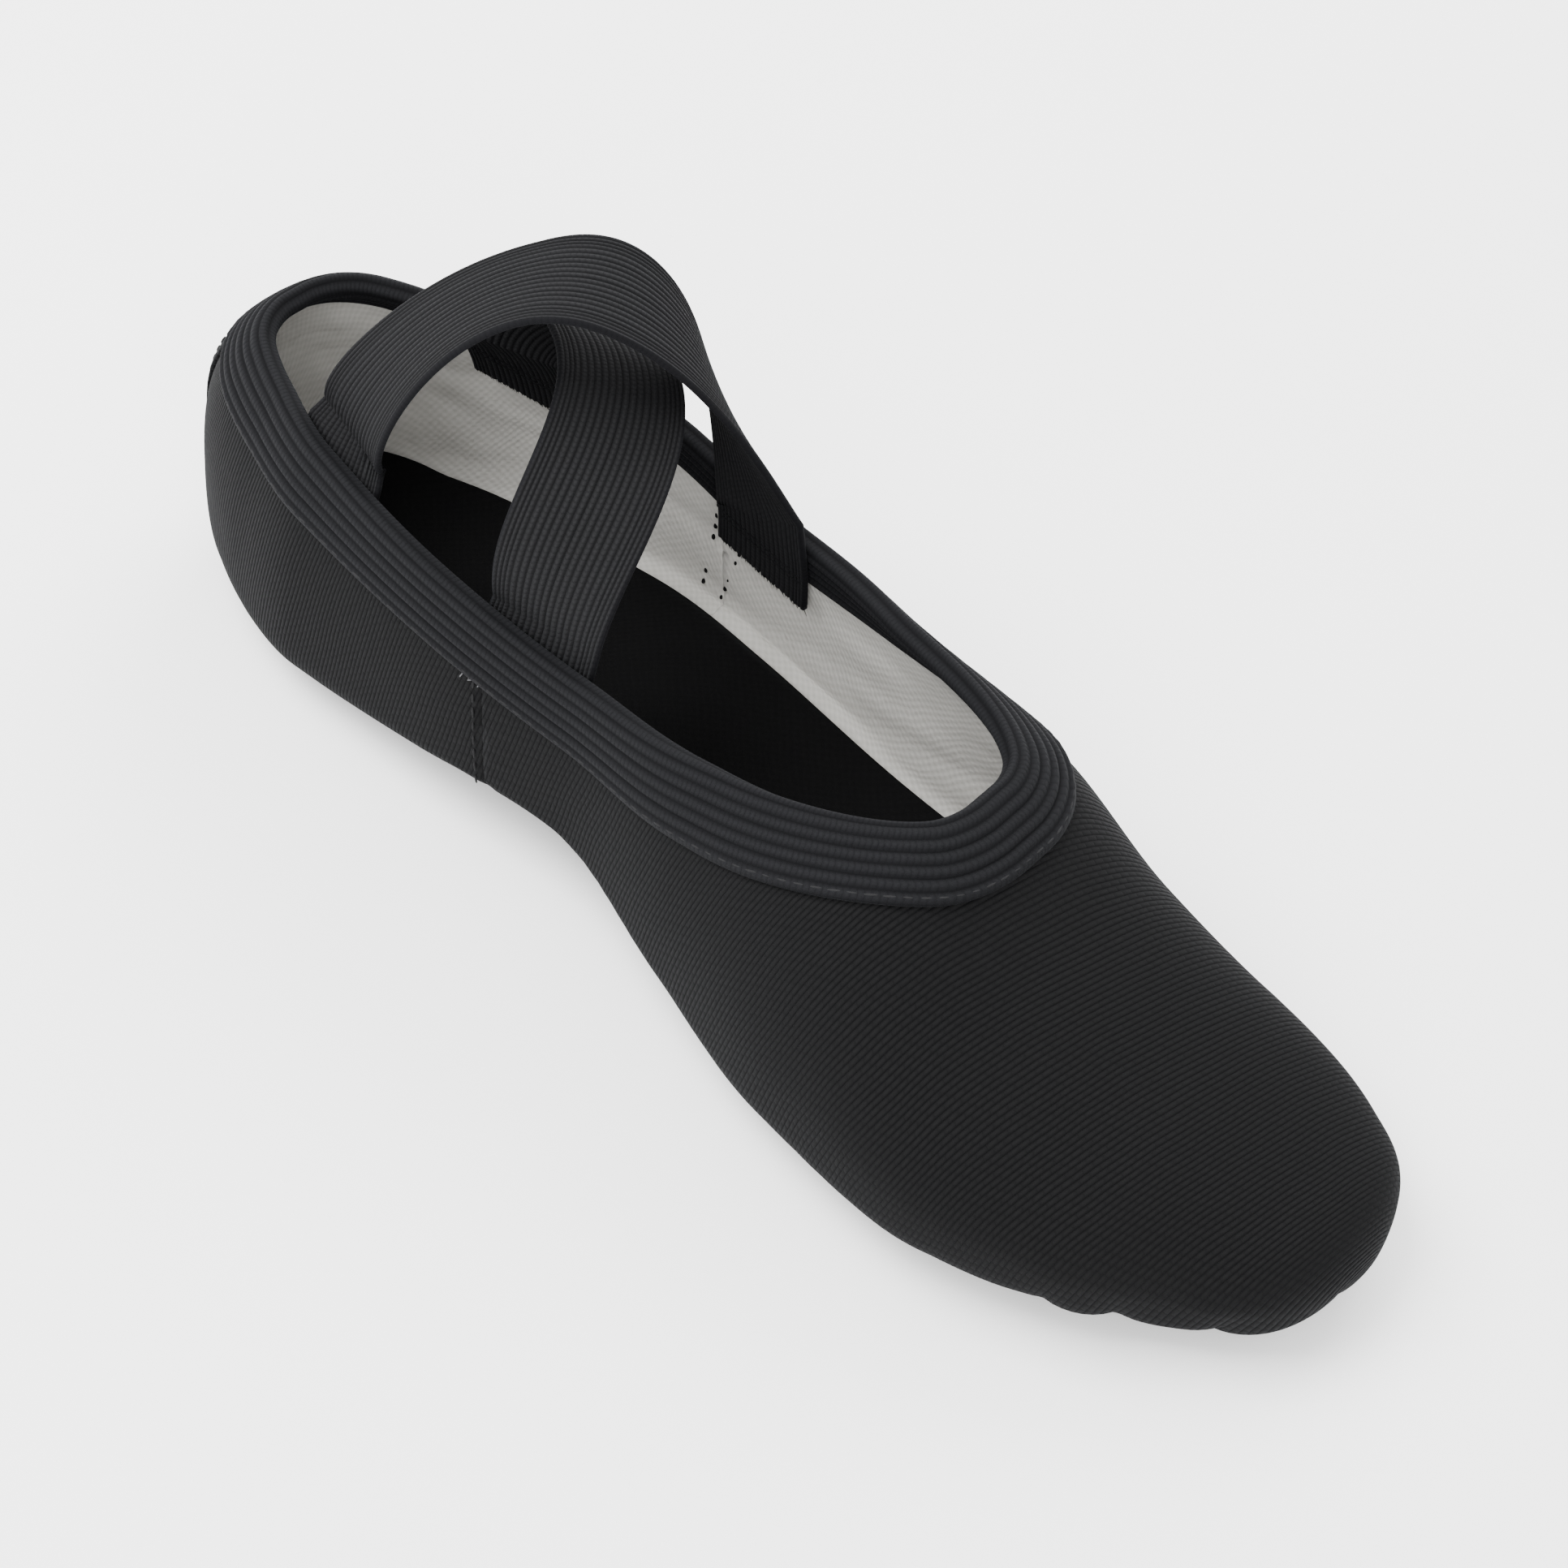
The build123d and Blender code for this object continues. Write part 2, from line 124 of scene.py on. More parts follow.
@dataclass
class SlipperForm:
    """The slipper's closed outer form, moved inwards by an inset."""

    inset: float = 0.0
    stations: tuple = (0.0, 0.08, 0.18, 0.30, 0.42, 0.54, 0.66, 0.76, 0.86, 0.94, 1.0)
    rights: tuple = (18.0, 22.0, 28.0, 28.0, 26.5, 34.0, 42.0, 44.3, 38.0, 30.5, 30.5)
    lefts: tuple = (22.0, 26.0, 32.5, 34.5, 31.5, 30.5, 30.3, 28.5, 27.5, 29.5, 36.5)
    toplines: tuple = (57.4, 52.5, 50.5, 47.4, 44.2, 47.5, 51.5, 51.5, 51.5, 51.5, 51.5)
    crowns: tuple = (50.4, 56.5, 64.0, 73.4, 70.2, 57.0, 52.5, 37.5, 27.5, 24.0, 31.0)
    widest: tuple = ((0.0, 26.0), (0.12, 15.0), (0.85, 15.0), (1.0, 10.0))
    plan_radii: tuple = (26.0, 34.0)
    dome_radii: tuple = (20.0, 46.0)
    under_radii: tuple = (16.0, 14.0)
    arch_lift: float = 10.8
    arch_place: float = 0.40
    arch_spread: float = 0.13
    lower: float = 3.6
    upper: float = 2.3
    table: dict = field(init=False)

    def __post_init__(self) -> None:
        """Reads the form's sizes into a table along its length."""
        tip = LENGTH / 2 - self.inset
        xs = -tip * np.cos(np.linspace(0, math.pi, 1601))
        rows = np.array([self._sizes(float(x)) for x in xs])
        names = ("right", "left", "floor", "middle", "crown", "topline")
        self.table = {"x": xs} | {n: rows[:, k] for k, n in enumerate(names)}

    def _round(self, x: float, radii: tuple) -> float:
        """One along the form, falling to zero at each end.

        Args:
            x: Place along the length.
            radii: Length of the rounding at each end.

        Returns:
            A factor from 0 to 1.
        """
        tip = LENGTH / 2 - self.inset
        heel, toe = radii[0] - self.inset, radii[1] - self.inset
        depth = max(0.0, (heel - tip - x) / heel, (x - tip + toe) / toe)
        return math.sqrt(max(0.0, 1 - depth * depth))

    def _sizes(self, x: float) -> tuple:
        """Right, left, floor, middle, crown and topline at one place.

        Args:
            x: Place along the length.

        Returns:
            The six sizes, in the order above.
        """
        u = min(1.0, max(0.0, x / LENGTH + 0.5))
        plan = self._round(x, self.plan_radii)
        right = (along(self.stations, self.rights, u) - self.inset) * plan
        left = (along(self.stations, self.lefts, u) - self.inset) * plan
        middle = float(np.interp(u, *zip(*self.widest)))
        rise = along(self.stations, self.crowns, u) - middle - self.inset
        crown = middle + rise * self._round(x, self.dome_radii)
        lift = self.arch_lift * math.exp(-(((u - self.arch_place) / self.arch_spread) ** 2))
        depth = middle - SUEDE - self.inset - lift
        floor = middle - depth * self._round(x, self.under_radii)
        return right, left, floor, middle, crown, along(self.stations, self.toplines, u)

    def read(self, name: str, x: Array) -> Array:
        """One of the table's sizes at places along the length."""
        return np.interp(x, self.table["x"], self.table[name])

    def ring(self, x: float, turns: Array) -> Array:
        """Points of the section at x, at turns from the left widest point.

        Args:
            x: Place along the length.
            turns: Shares of a turn.

        Returns:
            One point for each turn.
        """
        c, s = np.cos(turns), np.sin(turns)
        e = np.where(s > 0, self.upper, self.lower)
        reach = (np.abs(c) ** e + np.abs(s) ** e) ** (-1 / e)
        right, left, floor, middle, crown = (
            float(self.read(n, x)) for n in ("right", "left", "floor", "middle", "crown"))
        half = np.where(c > 0, left, right)
        height = np.where(s > 0, crown - middle, middle - floor)
        return np.stack([np.full_like(c, x), half * c * reach, middle + height * s * reach], 1)

    def level(self, p: Array) -> Array:
        """Below zero inside the form, zero on it and above zero outside.

        Args:
            p: Points in form millimetres, one to a row.

        Returns:
            One value for each point.
        """
        x = p[:, 0]
        half = np.where(p[:, 1] > 0, self.read("left", x), self.read("right", x))
        rise = p[:, 2] - self.read("middle", x)
        up = self.read("crown", x) - self.read("middle", x)
        down = self.read("middle", x) - self.read("floor", x)
        height = np.where(rise > 0, up, down)
        e = np.where(rise > 0, self.upper, self.lower)
        a = np.abs(p[:, 1]) / np.maximum(half, 0.3)
        b = np.abs(rise) / np.maximum(height, 0.3)
        return (a ** e + b ** e) ** (1 / e) - 1

    def slope(self, p: Array) -> Array:
        """Gradient of the level.

        Args:
            p: Points in form millimetres, one to a row.

        Returns:
            One vector for each point.
        """
        d = 0.05
        return np.stack([(self.level(p + s) - self.level(p - s)) / (2 * d)
                         for s in np.eye(3) * d], 1)

    def normals(self, p: Array) -> Array:
        """Outward unit normals."""
        g = self.slope(p)
        return g / np.linalg.norm(g, axis=1, keepdims=True)

    def settle(self, p: Array) -> Array:
        """Moves points onto the form along its normals.

        Args:
            p: Points in form millimetres, one to a row.

        Returns:
            The same points, on the form.
        """
        for _ in range(4):
            g = self.slope(p)
            step = g * (self.level(p) / (g * g).sum(1))[:, None]
            p = p - np.clip(step, -1.5, 1.5)
        return p

    def march(self, start: Array, heading: Array, step: float, count: int) -> tuple[Array, Array]:
        """Walks straight over the form from many points at once.

        Args:
            start: Points on the form.
            heading: Unit directions to set out in.
            step: Length of one step.
            count: Number of steps.

        Returns:
            Points and normals, each of shape (count + 1, points, 3).
        """
        rows, p, d = [start], start, heading
        for _ in range(count):
            p = self.settle(p + d * step)
            n = self.normals(p)
            d = d - n * (d * n).sum(1, keepdims=True)
            d = d / np.linalg.norm(d, axis=1, keepdims=True)
            rows.append(p)
        return np.stack(rows), np.stack([self.normals(r) for r in rows])

    def wall_y(self, x: Array, z: Array, side: int) -> Array:
        """Y of the form's side at a height; side is +1 left, -1 right.

        Args:
            x: Places along the length.
            z: Heights.
            side: 1 for the left side or -1 for the right.

        Returns:
            One Y for each place.
        """
        x, z = np.atleast_1d(x).astype(float), np.atleast_1d(z).astype(float)
        middle = self.read("middle", x)
        up = z > middle
        height = np.where(up, self.read("crown", x) - middle, middle - self.read("floor", x))
        share = np.clip(np.abs(z - middle) / np.maximum(height, 0.3), 0, 1)
        e = np.where(up, self.upper, self.lower)
        half = self.read("left" if side > 0 else "right", x)
        return side * half * (1 - share ** e) ** (1 / e)

    def floor_z(self, x: Array, y: Array) -> Array:
        """Height of the form's underside.

        Args:
            x: Places along the length.
            y: Places across.

        Returns:
            One height for each place.
        """
        half = np.where(y > 0, self.read("left", x), self.read("right", x))
        middle = self.read("middle", x)
        share = np.clip(np.abs(y) / np.maximum(half, 0.3), 0, 1)
        drop = (1 - share ** self.lower) ** (1 / self.lower)
        return middle - (middle - self.read("floor", x)) * drop

    def topline_ends(self) -> tuple[float, float]:
        """X of the centre back and of the throat, where the crown meets the topline."""
        over = self.table["crown"] > self.table["topline"]
        xs = self.table["x"][over]
        return float(xs[0]), float(xs[-1])

    def topline_loop(self, count: int) -> Array:
        """Evenly spaced points round the topline, from the centre back over the left.

        Args:
            count: Number of points.

        Returns:
            The points, in order.
        """
        back, throat = self.topline_ends()
        phi = np.linspace(0, 2 * math.pi, 4001)[:-1]
        x = (back + throat) / 2 - (throat - back) / 2 * np.cos(phi)
        z = self.read("topline", x)
        y = np.where(phi < math.pi, self.wall_y(x, z, 1), self.wall_y(x, z, -1))
        return resample(np.stack([x, y, z], 1), count, True)


def resample(points: Array, count: int, closed: bool) -> Array:
    """Evenly spaced points along a polyline.

    Args:
        points: The polyline.
        count: Number of points wanted.
        closed: Whether the last point joins the first.

    Returns:
        The new points; a closed line's last one isn't its first again.
    """
    line = np.vstack([points, points[:1]]) if closed else points
    run = np.concatenate([[0], np.cumsum(np.linalg.norm(np.diff(line, axis=0), axis=1))])
    places = np.linspace(0, run[-1], count + 1)[:-1] if closed else np.linspace(0, run[-1], count)
    return np.stack([np.interp(places, run, line[:, k]) for k in range(3)], 1)


def unit(v: Array) -> Array:
    """Vectors scaled to length one."""
    return v / np.maximum(np.linalg.norm(v, axis=-1, keepdims=True), 1e-12)


def ramp(x: Array, low: float, high: float) -> Array:
    """Smooth step from 0 at low to 1 at high."""
    t = np.clip((np.asarray(x, float) - low) / (high - low), 0, 1)
    return t * t * (3 - 2 * t)


def ripple(p: Array, size: float, seed: float) -> Array:
    """Smooth noise between about -1 and 1, read at points in millimetres."""
    shift = Vector((seed, seed * 1.7, -seed))
    return np.array([noise.noise(Vector(q) / size + shift) for q in p])


def to_frame(p: Array) -> Array:
    """Form millimetres to metres in the shared frame."""
    return (np.asarray(p, float) + (0.0, CENTRE_LINE, 0.0)) * MM


@dataclass
class GridMesh:
    """A sheet of quads over rows and columns of points, in form millimetres."""

    name: str
    points: Array
    u: Array
    v: Array
    wrap_rows: bool = False
    wrap_columns: bool = False
    values: dict[str, Array] = field(default_factory=dict)
    keep: Callable[[Array], Array] | None = None

    def build(self) -> bpy.types.Object:
        """Makes the object, with its UV map and point attributes.

        Returns:
            An object at the origin with merged poles and outward faces.
        """
        rows, columns = self.points.shape[:2]
        flat = self.points.reshape(-1, 3)
        last_row = rows if self.wrap_rows else rows - 1
        last_column = columns if self.wrap_columns else columns - 1
        i, j = np.meshgrid(np.arange(last_row), np.arange(last_column), indexing="ij")
        i, j = i.ravel(), j.ravel()
        i2, j2 = (i + 1) % rows, (j + 1) % columns
        faces = np.stack([i * columns + j, i2 * columns + j, i2 * columns + j2, i * columns + j2], 1)
        corners = [(i, j), (i + 1, j), (i + 1, j + 1), (i, j + 1)]
        uv = np.stack([np.stack([self._u(a, b), self._v(a, b)], -1) for a, b in corners], 1)
        if self.keep is not None:
            kept = self.keep(flat[faces].mean(1))
            faces, uv = faces[kept], uv[kept]
        mesh = bpy.data.meshes.new(self.name)
        mesh.from_pydata(to_frame(flat).tolist(), [], faces.tolist())
        layer = mesh.uv_layers.new(name="UVMap")
        layer.data.foreach_set("uv", (uv.reshape(-1) * MM).astype(np.float32))
        for name, value in self.values.items():
            store(mesh, name, value)
        obj = bpy.data.objects.new(self.name, mesh)
        bpy.context.scene.collection.objects.link(obj)
        edit = bmesh.new()
        edit.from_mesh(mesh)
        bmesh.ops.remove_doubles(edit, verts=edit.verts, dist=0.5e-5)
        bmesh.ops.delete(edit, geom=[x for x in edit.verts if not x.link_faces], context="VERTS")
        bmesh.ops.recalc_face_normals(edit, faces=edit.faces)
        edit.to_mesh(mesh)
        edit.free()
        shade(obj)
        return obj

    def _u(self, i: Array, j: Array) -> Array:
        """U at grid corners; u holds one value per row, or one per corner."""
        return self.u[i] if self.u.ndim == 1 else self.u[i, j]

    def _v(self, i: Array, j: Array) -> Array:
        """V at grid corners; v holds one value per column, or one per corner."""
        return self.v[j] if self.v.ndim == 1 else self.v[i, j]


def store(mesh: bpy.types.Mesh, name: str, value: Array) -> None:
    """Adds a float or vector attribute to a mesh's points.

    Args:
        mesh: Mesh to write on.
        name: Attribute name.
        value: One float or vector for each point.
    """
    value = np.asarray(value, np.float32)
    vector = value.ndim == 2
    layer = mesh.attributes.new(name, "FLOAT_VECTOR" if vector else "FLOAT", "POINT")
    layer.data.foreach_set("vector" if vector else "value", value.ravel())


def shade(obj: bpy.types.Object) -> None:
    """Shades every face smooth."""
    obj.data.polygons.foreach_set("use_smooth", [True] * len(obj.data.polygons))


def apply_modifiers(obj: bpy.types.Object) -> None:
    """Replaces an object's mesh by its evaluated one and drops the modifiers.

    Args:
        obj: Object whose modifiers are applied.
    """
    bpy.context.view_layer.update()
    graph = bpy.context.evaluated_depsgraph_get()
    mesh = bpy.data.meshes.new_from_object(obj.evaluated_get(graph), depsgraph=graph)
    obj.modifiers.clear()
    obj.data = mesh
    mesh.name = obj.name


def thicken(obj: bpy.types.Object, thickness: float, side: float) -> None:
    """Gives a sheet its thickness in millimetres; side -1 is inwards, 1 outwards.

    Args:
        obj: Sheet to thicken.
        thickness: Thickness in millimetres.
        side: -1 inwards or 1 outwards.
    """
    solid = obj.modifiers.new("Thickness", "SOLIDIFY")
    solid.thickness = thickness * MM
    solid.offset = side
    apply_modifiers(obj)
    shade(obj)


def cut_away(obj: bpy.types.Object, point: tuple, normal: tuple) -> None:
    """Removes what lies beyond a plane, in form millimetres, and leaves the edge open.

    Args:
        obj: Object to cut.
        point: A point on the plane, in form millimetres.
        normal: Direction of the part that is removed.
    """
    edit = bmesh.new()
    edit.from_mesh(obj.data)
    bmesh.ops.bisect_plane(edit, geom=[*edit.verts, *edit.edges, *edit.faces], dist=1e-6,
                           plane_co=Vector(to_frame(point)), plane_no=Vector(normal), clear_outer=True)
    edit.to_mesh(obj.data)
    edit.free()


def stand_for(obj: bpy.types.Object, slot: str, *nodes: str) -> None:
    """Records the CAD nodes that a piece stands for, and hides them."""
    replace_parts(obj, *nodes)


# ---------------------------------------------------------------- shaders


class Shader:
    """Adds nodes to a material's or a group's tree."""

    def __init__(self, tree: bpy.types.NodeTree) -> None:
        """Keeps the tree that nodes are added to.

        Args:
            tree: Tree of a material or a group.
        """
        self.tree = tree

    def add(self, kind: str, inputs: dict | None = None, **settings: object) -> bpy.types.Node:
        """Adds one node.

        Args:
            kind: Node type, without its ShaderNode prefix.
            inputs: Values or sockets by input name or index.
            **settings: Node properties.

        Returns:
            The new node.
        """
        node = self.tree.nodes.new(kind if kind.startswith("Node") else "ShaderNode" + kind)
        for name, value in settings.items():
            setattr(node, name, value)
        for name, value in (inputs or {}).items():
            socket = node.inputs[name]
            if isinstance(value, bpy.types.NodeSocket):
                self.tree.links.new(value, socket)
            else:
                socket.default_value = value
        return node

    def math(self, operation: str, a: object, b: object = 0.0, c: object = 0.0) -> bpy.types.NodeSocket:
        """Result of one maths node."""
        return self.add("Math", {0: a, 1: b, 2: c}, operation=operation).outputs[0]

    def mix(self, factor: object, a: object, b: object) -> bpy.types.NodeSocket:
        """Blend of two colours."""
        return self.add("Mix", {0: factor, 6: a, 7: b}, data_type="RGBA").outputs[2]

    def noise(self, vector: object, scale: float, detail: float = 2.0) -> bpy.types.NodeSocket:
        """Noise value from 0 to 1; scale is in repeats per metre."""
        return self.add("TexNoise", {"Vector": vector, "Scale": scale, "Detail": detail}).outputs[0]

    def spread(self, value: object, low: float, high: float, to_low: float,
               to_high: float) -> bpy.types.NodeSocket:
        """Smoothly remapped value."""
        node = self.add("MapRange", {0: value, 1: low, 2: high, 3: to_low, 4: to_high},
                        interpolation_type="SMOOTHSTEP")
        return node.outputs[0]


def new_group(name: str, inputs: dict[str, object]) -> tuple[Shader, bpy.types.Node, bpy.types.Node]:
    """Starts a shader group with a Vector input, and Height and Shade outputs.

    Args:
        name: Group name.
        inputs: Extra float inputs and their defaults.

    Returns:
        The tree's shader, its input node and its output node.
    """
    tree = bpy.data.node_groups.new(name, "ShaderNodeTree")
    tree.interface.new_socket("Vector", in_out="INPUT", socket_type="NodeSocketVector")
    for label, value in inputs.items():
        socket = tree.interface.new_socket(label, in_out="INPUT", socket_type="NodeSocketFloat")
        socket.default_value = value
    for label in ("Height", "Shade"):
        tree.interface.new_socket(label, in_out="OUTPUT", socket_type="NodeSocketFloat")
    shader = Shader(tree)
    return shader, shader.add("NodeGroupInput"), shader.add("NodeGroupOutput")


def twill_group() -> bpy.types.NodeTree:
    """Diagonal ribs of a twill, broken into single floats of yarn.

    Returns:
        A group from a flat vector in metres to height and shade, each 0 to 1; the shade is painted shade,
        dark in the grooves between the ribs, varied by yarn tone.
    """
    s, source, out = new_group("Twill weave", {"Rib": 0.00085, "Float": 0.0020, "Turn": 1.36})
    bend = s.noise(source.outputs["Vector"], 55.0, 1.0)
    turned = s.add("VectorRotate", {"Vector": source.outputs["Vector"], "Angle": source.outputs["Turn"]},
                   rotation_type="Z_AXIS", invert=True)
    xyz = s.add("SeparateXYZ", {0: turned.outputs[0]})
    rib = s.math("MULTIPLY_ADD", bend, 1.2, s.math("DIVIDE", xyz.outputs[1], source.outputs["Rib"]))
    wave = s.math("ABSOLUTE", s.math("SINE", s.math("MULTIPLY", rib, math.pi)))
    lag = s.math("MULTIPLY", s.math("FLOOR", rib), 0.37)
    run = s.math("ADD", s.math("DIVIDE", xyz.outputs[0], source.outputs["Float"]), lag)
    tie = s.math("ABSOLUTE", s.math("SINE", s.math("MULTIPLY", run, math.pi)))
    rounded = s.math("POWER", wave, 0.6)
    height = s.math("MULTIPLY", rounded, s.math("MULTIPLY_ADD", s.math("POWER", tie, 0.5), 0.35, 0.65))
    yarn = s.noise(s.add("VectorMath", {0: turned.outputs[0], 1: (350.0, 2600.0, 350.0)},
                         operation="MULTIPLY").outputs[0], 1.0, 3.0)
    s.tree.links.new(height, out.inputs["Height"])
    # Shade output follows the rib height: painted shade in the grooves, times a yarn tone noise.
    s.tree.links.new(s.math("MULTIPLY", height, s.math("MULTIPLY_ADD", yarn, 0.7, 0.65)), out.inputs["Shade"])
    return s.tree


def plain_group() -> bpy.types.NodeTree:
    """Over-and-under plain weave.

    Returns:
        A group from a flat vector in metres to height and shade, each 0 to 1; the shade is half yarn slub
        tone and half painted shade where the threads dip under.
    """
    s, source, out = new_group("Plain weave", {"Pitch": 0.0009})
    bend = s.noise(source.outputs["Vector"], 90.0, 2.0)
    xyz = s.add("SeparateXYZ", {0: source.outputs["Vector"]})
    across = s.math("MULTIPLY_ADD", bend, 1.5, s.math("DIVIDE", xyz.outputs[0], source.outputs["Pitch"]))
    up = s.math("MULTIPLY_ADD", bend, 1.5, s.math("DIVIDE", xyz.outputs[1], source.outputs["Pitch"]))
    warp = s.math("SINE", s.math("MULTIPLY", across, math.pi))
    weft = s.math("SINE", s.math("MULTIPLY", up, math.pi))
    over = s.math("MULTIPLY_ADD", s.math("MULTIPLY", warp, weft), 0.5, 0.5)
    slub = s.noise(s.add("VectorMath", {0: source.outputs["Vector"], 1: (260.0, 1500.0, 260.0)},
                         operation="MULTIPLY").outputs[0], 1.0, 3.0)
    height = s.math("MULTIPLY_ADD", over, 0.6, s.math("MULTIPLY", slub, 0.4))
    s.tree.links.new(height, out.inputs["Height"])
    # Shade output: slub tone plus painted shade that follows the over-and-under height.
    s.tree.links.new(s.math("MULTIPLY_ADD", slub, 0.5, s.math("MULTIPLY", over, 0.5)), out.inputs["Shade"])
    return s.tree


def knit_group() -> bpy.types.NodeTree:
    """Short bars of covered rubber thread along the ribs of an elastic.

    Returns:
        A group from (length, across) in metres to height and shade, each 0 to 1; the shade is painted shade,
        dark between the bars and in the grooves between ribs, times a fibre tone.
    """
    s, source, out = new_group("Rib knit", {"Bar": 0.0010, "Rib": 0.0018})
    xyz = s.add("SeparateXYZ", {0: source.outputs["Vector"]})
    rib = s.math("DIVIDE", xyz.outputs[1], source.outputs["Rib"])
    lean = s.math("MULTIPLY", s.math("PINGPONG", rib, 0.5), 0.5)
    half_step = s.math("MULTIPLY", s.math("FLOOR", rib), 0.5)
    count = s.math("DIVIDE", xyz.outputs[0], source.outputs["Bar"])
    bar = s.math("ADD", s.math("ADD", count, lean), half_step)
    wave = s.math("ABSOLUTE", s.math("SINE", s.math("MULTIPLY", bar, math.pi)))
    groove = s.math("ABSOLUTE", s.math("SINE", s.math("MULTIPLY", rib, math.pi)))
    beads = s.math("MULTIPLY_ADD", s.math("POWER", wave, 0.6), 0.4, 0.6)
    height = s.math("MULTIPLY", beads, s.math("MULTIPLY_ADD", groove, 0.8, 0.2))
    fuzz = s.noise(source.outputs["Vector"], 2600.0, 3.0)
    s.tree.links.new(height, out.inputs["Height"])
    # Shade output follows the knit height: painted shade in the grooves, times fibre tone.
    s.tree.links.new(s.math("MULTIPLY", height, s.math("MULTIPLY_ADD", fuzz, 0.8, 0.6)), out.inputs["Shade"])
    return s.tree


def nap_group() -> bpy.types.NodeTree:
    """Fine fibre and faint lint on a dark cloth or suede.

    Returns:
        A group from a vector in metres to height and shade, each 0 to 1.
    """
    s, source, out = new_group("Nap and lint", {"Fibre": 1500.0, "Lint": 0.35})
    fibre = s.add("TexNoise", {"Vector": source.outputs["Vector"], "Scale": source.outputs["Fibre"],
                               "Detail": 5.0, "Roughness": 0.7}).outputs[0]
    brushed = s.noise(source.outputs["Vector"], 70.0, 3.0)
    specks = s.add("TexVoronoi", {"Vector": source.outputs["Vector"], "Scale": 420.0}).outputs[0]
    lint = s.math("MULTIPLY", s.spread(specks, 0.02, 0.12, 1.0, 0.0), source.outputs["Lint"])
    where = s.spread(s.noise(source.outputs["Vector"], 160.0), 0.56, 0.66, 0.0, 1.0)
    sparse = s.math("MULTIPLY", lint, where)
    s.tree.links.new(fibre, out.inputs["Height"])
    base = s.math("MULTIPLY_ADD", brushed, 0.45, s.math("MULTIPLY", fibre, 0.45))
    s.tree.links.new(s.math("ADD", base, sparse), out.inputs["Shade"])
    return s.tree


class Weave(Enum):
    """Shader groups that more than one finish uses."""

    TWILL = "Twill weave"
    PLAIN = "Plain weave"
    KNIT = "Rib knit"
    NAP = "Nap and lint"

    def tree(self) -> bpy.types.NodeTree:
        """The group's node tree, made on first use.

        Returns:
            The shader node group.
        """
        made = bpy.data.node_groups.get(self.value)
        if made:
            return made
        return {Weave.TWILL: twill_group, Weave.PLAIN: plain_group,
                Weave.KNIT: knit_group, Weave.NAP: nap_group}[self]()


@dataclass(frozen=True)
class Finish:
    """A fabric finish: a weave for relief and for painted shade in its hollows with yarn tone, with nap over
    it.
    """

    name: str
    low: tuple
    high: tuple
    weave: Weave
    settings: tuple = ()
    relief: float = 0.25
    nap: float = 0.3
    roughness: float = 0.85
    sheen: float = 0.015
    sheen_tint: tuple = (0.75, 0.78, 0.85)
    mapped: bool = True
    edge: float = 0.0
    edge_color: tuple = (0.12, 0.12, 0.12)

    def build(self) -> bpy.types.Material:
        """Makes the material.

        Returns:
            A material on the piece's UV map or on Object coordinates.
        """
        material = bpy.data.materials.new(self.name)
        material.use_nodes = True
        s = Shader(material.node_tree)
        bsdf = s.tree.nodes["Principled BSDF"]
        place = s.add("TexCoord")
        flat = place.outputs["UV" if self.mapped else "Object"]
        weave = s.add("Group", node_tree=self.weave.tree())
        s.tree.links.new(flat, weave.inputs["Vector"])
        for label, value in self.settings:
            weave.inputs[label].default_value = value
        nap = s.add("Group", {}, node_tree=Weave.NAP.tree())
        s.tree.links.new(place.outputs["Object"], nap.inputs["Vector"])
        # Colour tone from the nap's fibre, brushing and lint, and from the weave's painted shade in its
        # hollows.
        tone_with_painted_shade = s.math("MULTIPLY_ADD", nap.outputs["Shade"], self.nap,
                      s.math("MULTIPLY", weave.outputs["Shade"], 1.0 - self.nap))
        color = s.mix(tone_with_painted_shade, (*self.low, 1.0), (*self.high, 1.0))
        if self.edge:
            # Colour drawn towards edge_color by the edge attribute: darker at the strap's edges, lighter at
            # the suede patches' feathered edges.
            edge_share = s.add("Attribute", attribute_name="edge").outputs["Fac"]
            color = s.mix(s.math("MULTIPLY", edge_share, self.edge), color, (*self.edge_color, 1.0))
        s.tree.links.new(color, bsdf.inputs["Base Color"])
        rough = s.math("MULTIPLY_ADD", nap.outputs["Shade"], 0.12, self.roughness - 0.05)
        s.tree.links.new(rough, bsdf.inputs["Roughness"])
        height = s.math("MULTIPLY_ADD", nap.outputs["Height"], self.nap * 0.5, weave.outputs["Height"])
        bump = s.add("Bump", {"Height": height, "Strength": 1.0, "Distance": self.relief * MM})
        s.tree.links.new(bump.outputs[0], bsdf.inputs["Normal"])
        bsdf.inputs["Sheen Weight"].default_value = self.sheen
        bsdf.inputs["Sheen Roughness"].default_value = 0.45
        bsdf.inputs["Sheen Tint"].default_value = (*self.sheen_tint, 1.0)
        bsdf.inputs["Specular IOR Level"].default_value = 0.05
        return material


CANVAS_FINISH = Finish("Charcoal twill canvas", (0.0006, 0.0006, 0.0008), (0.0058, 0.0058, 0.0060),
                       Weave.TWILL)
STRIP_FINISH = Finish("Charcoal twill tape", (0.0006, 0.0006, 0.0008), (0.0052, 0.0053, 0.0057), Weave.TWILL,
                      (("Rib", 0.0009), ("Turn", 0.7)))
BINDING_FINISH = Finish("Ribbed binding elastic", (0.0005, 0.0005, 0.0007), (0.0085, 0.0086, 0.0096),
                        Weave.KNIT, (("Bar", 0.0008), ("Rib", 0.0019)), relief=0.18)
STRAP_FINISH = Finish("Ribbed strap elastic", (0.0008, 0.0008, 0.0009), (0.0122, 0.0122, 0.0130), Weave.KNIT,
                      (("Bar", 0.0009), ("Rib", 0.00115)), relief=0.2, edge=0.5,
                      edge_color=(0.002, 0.002, 0.003))
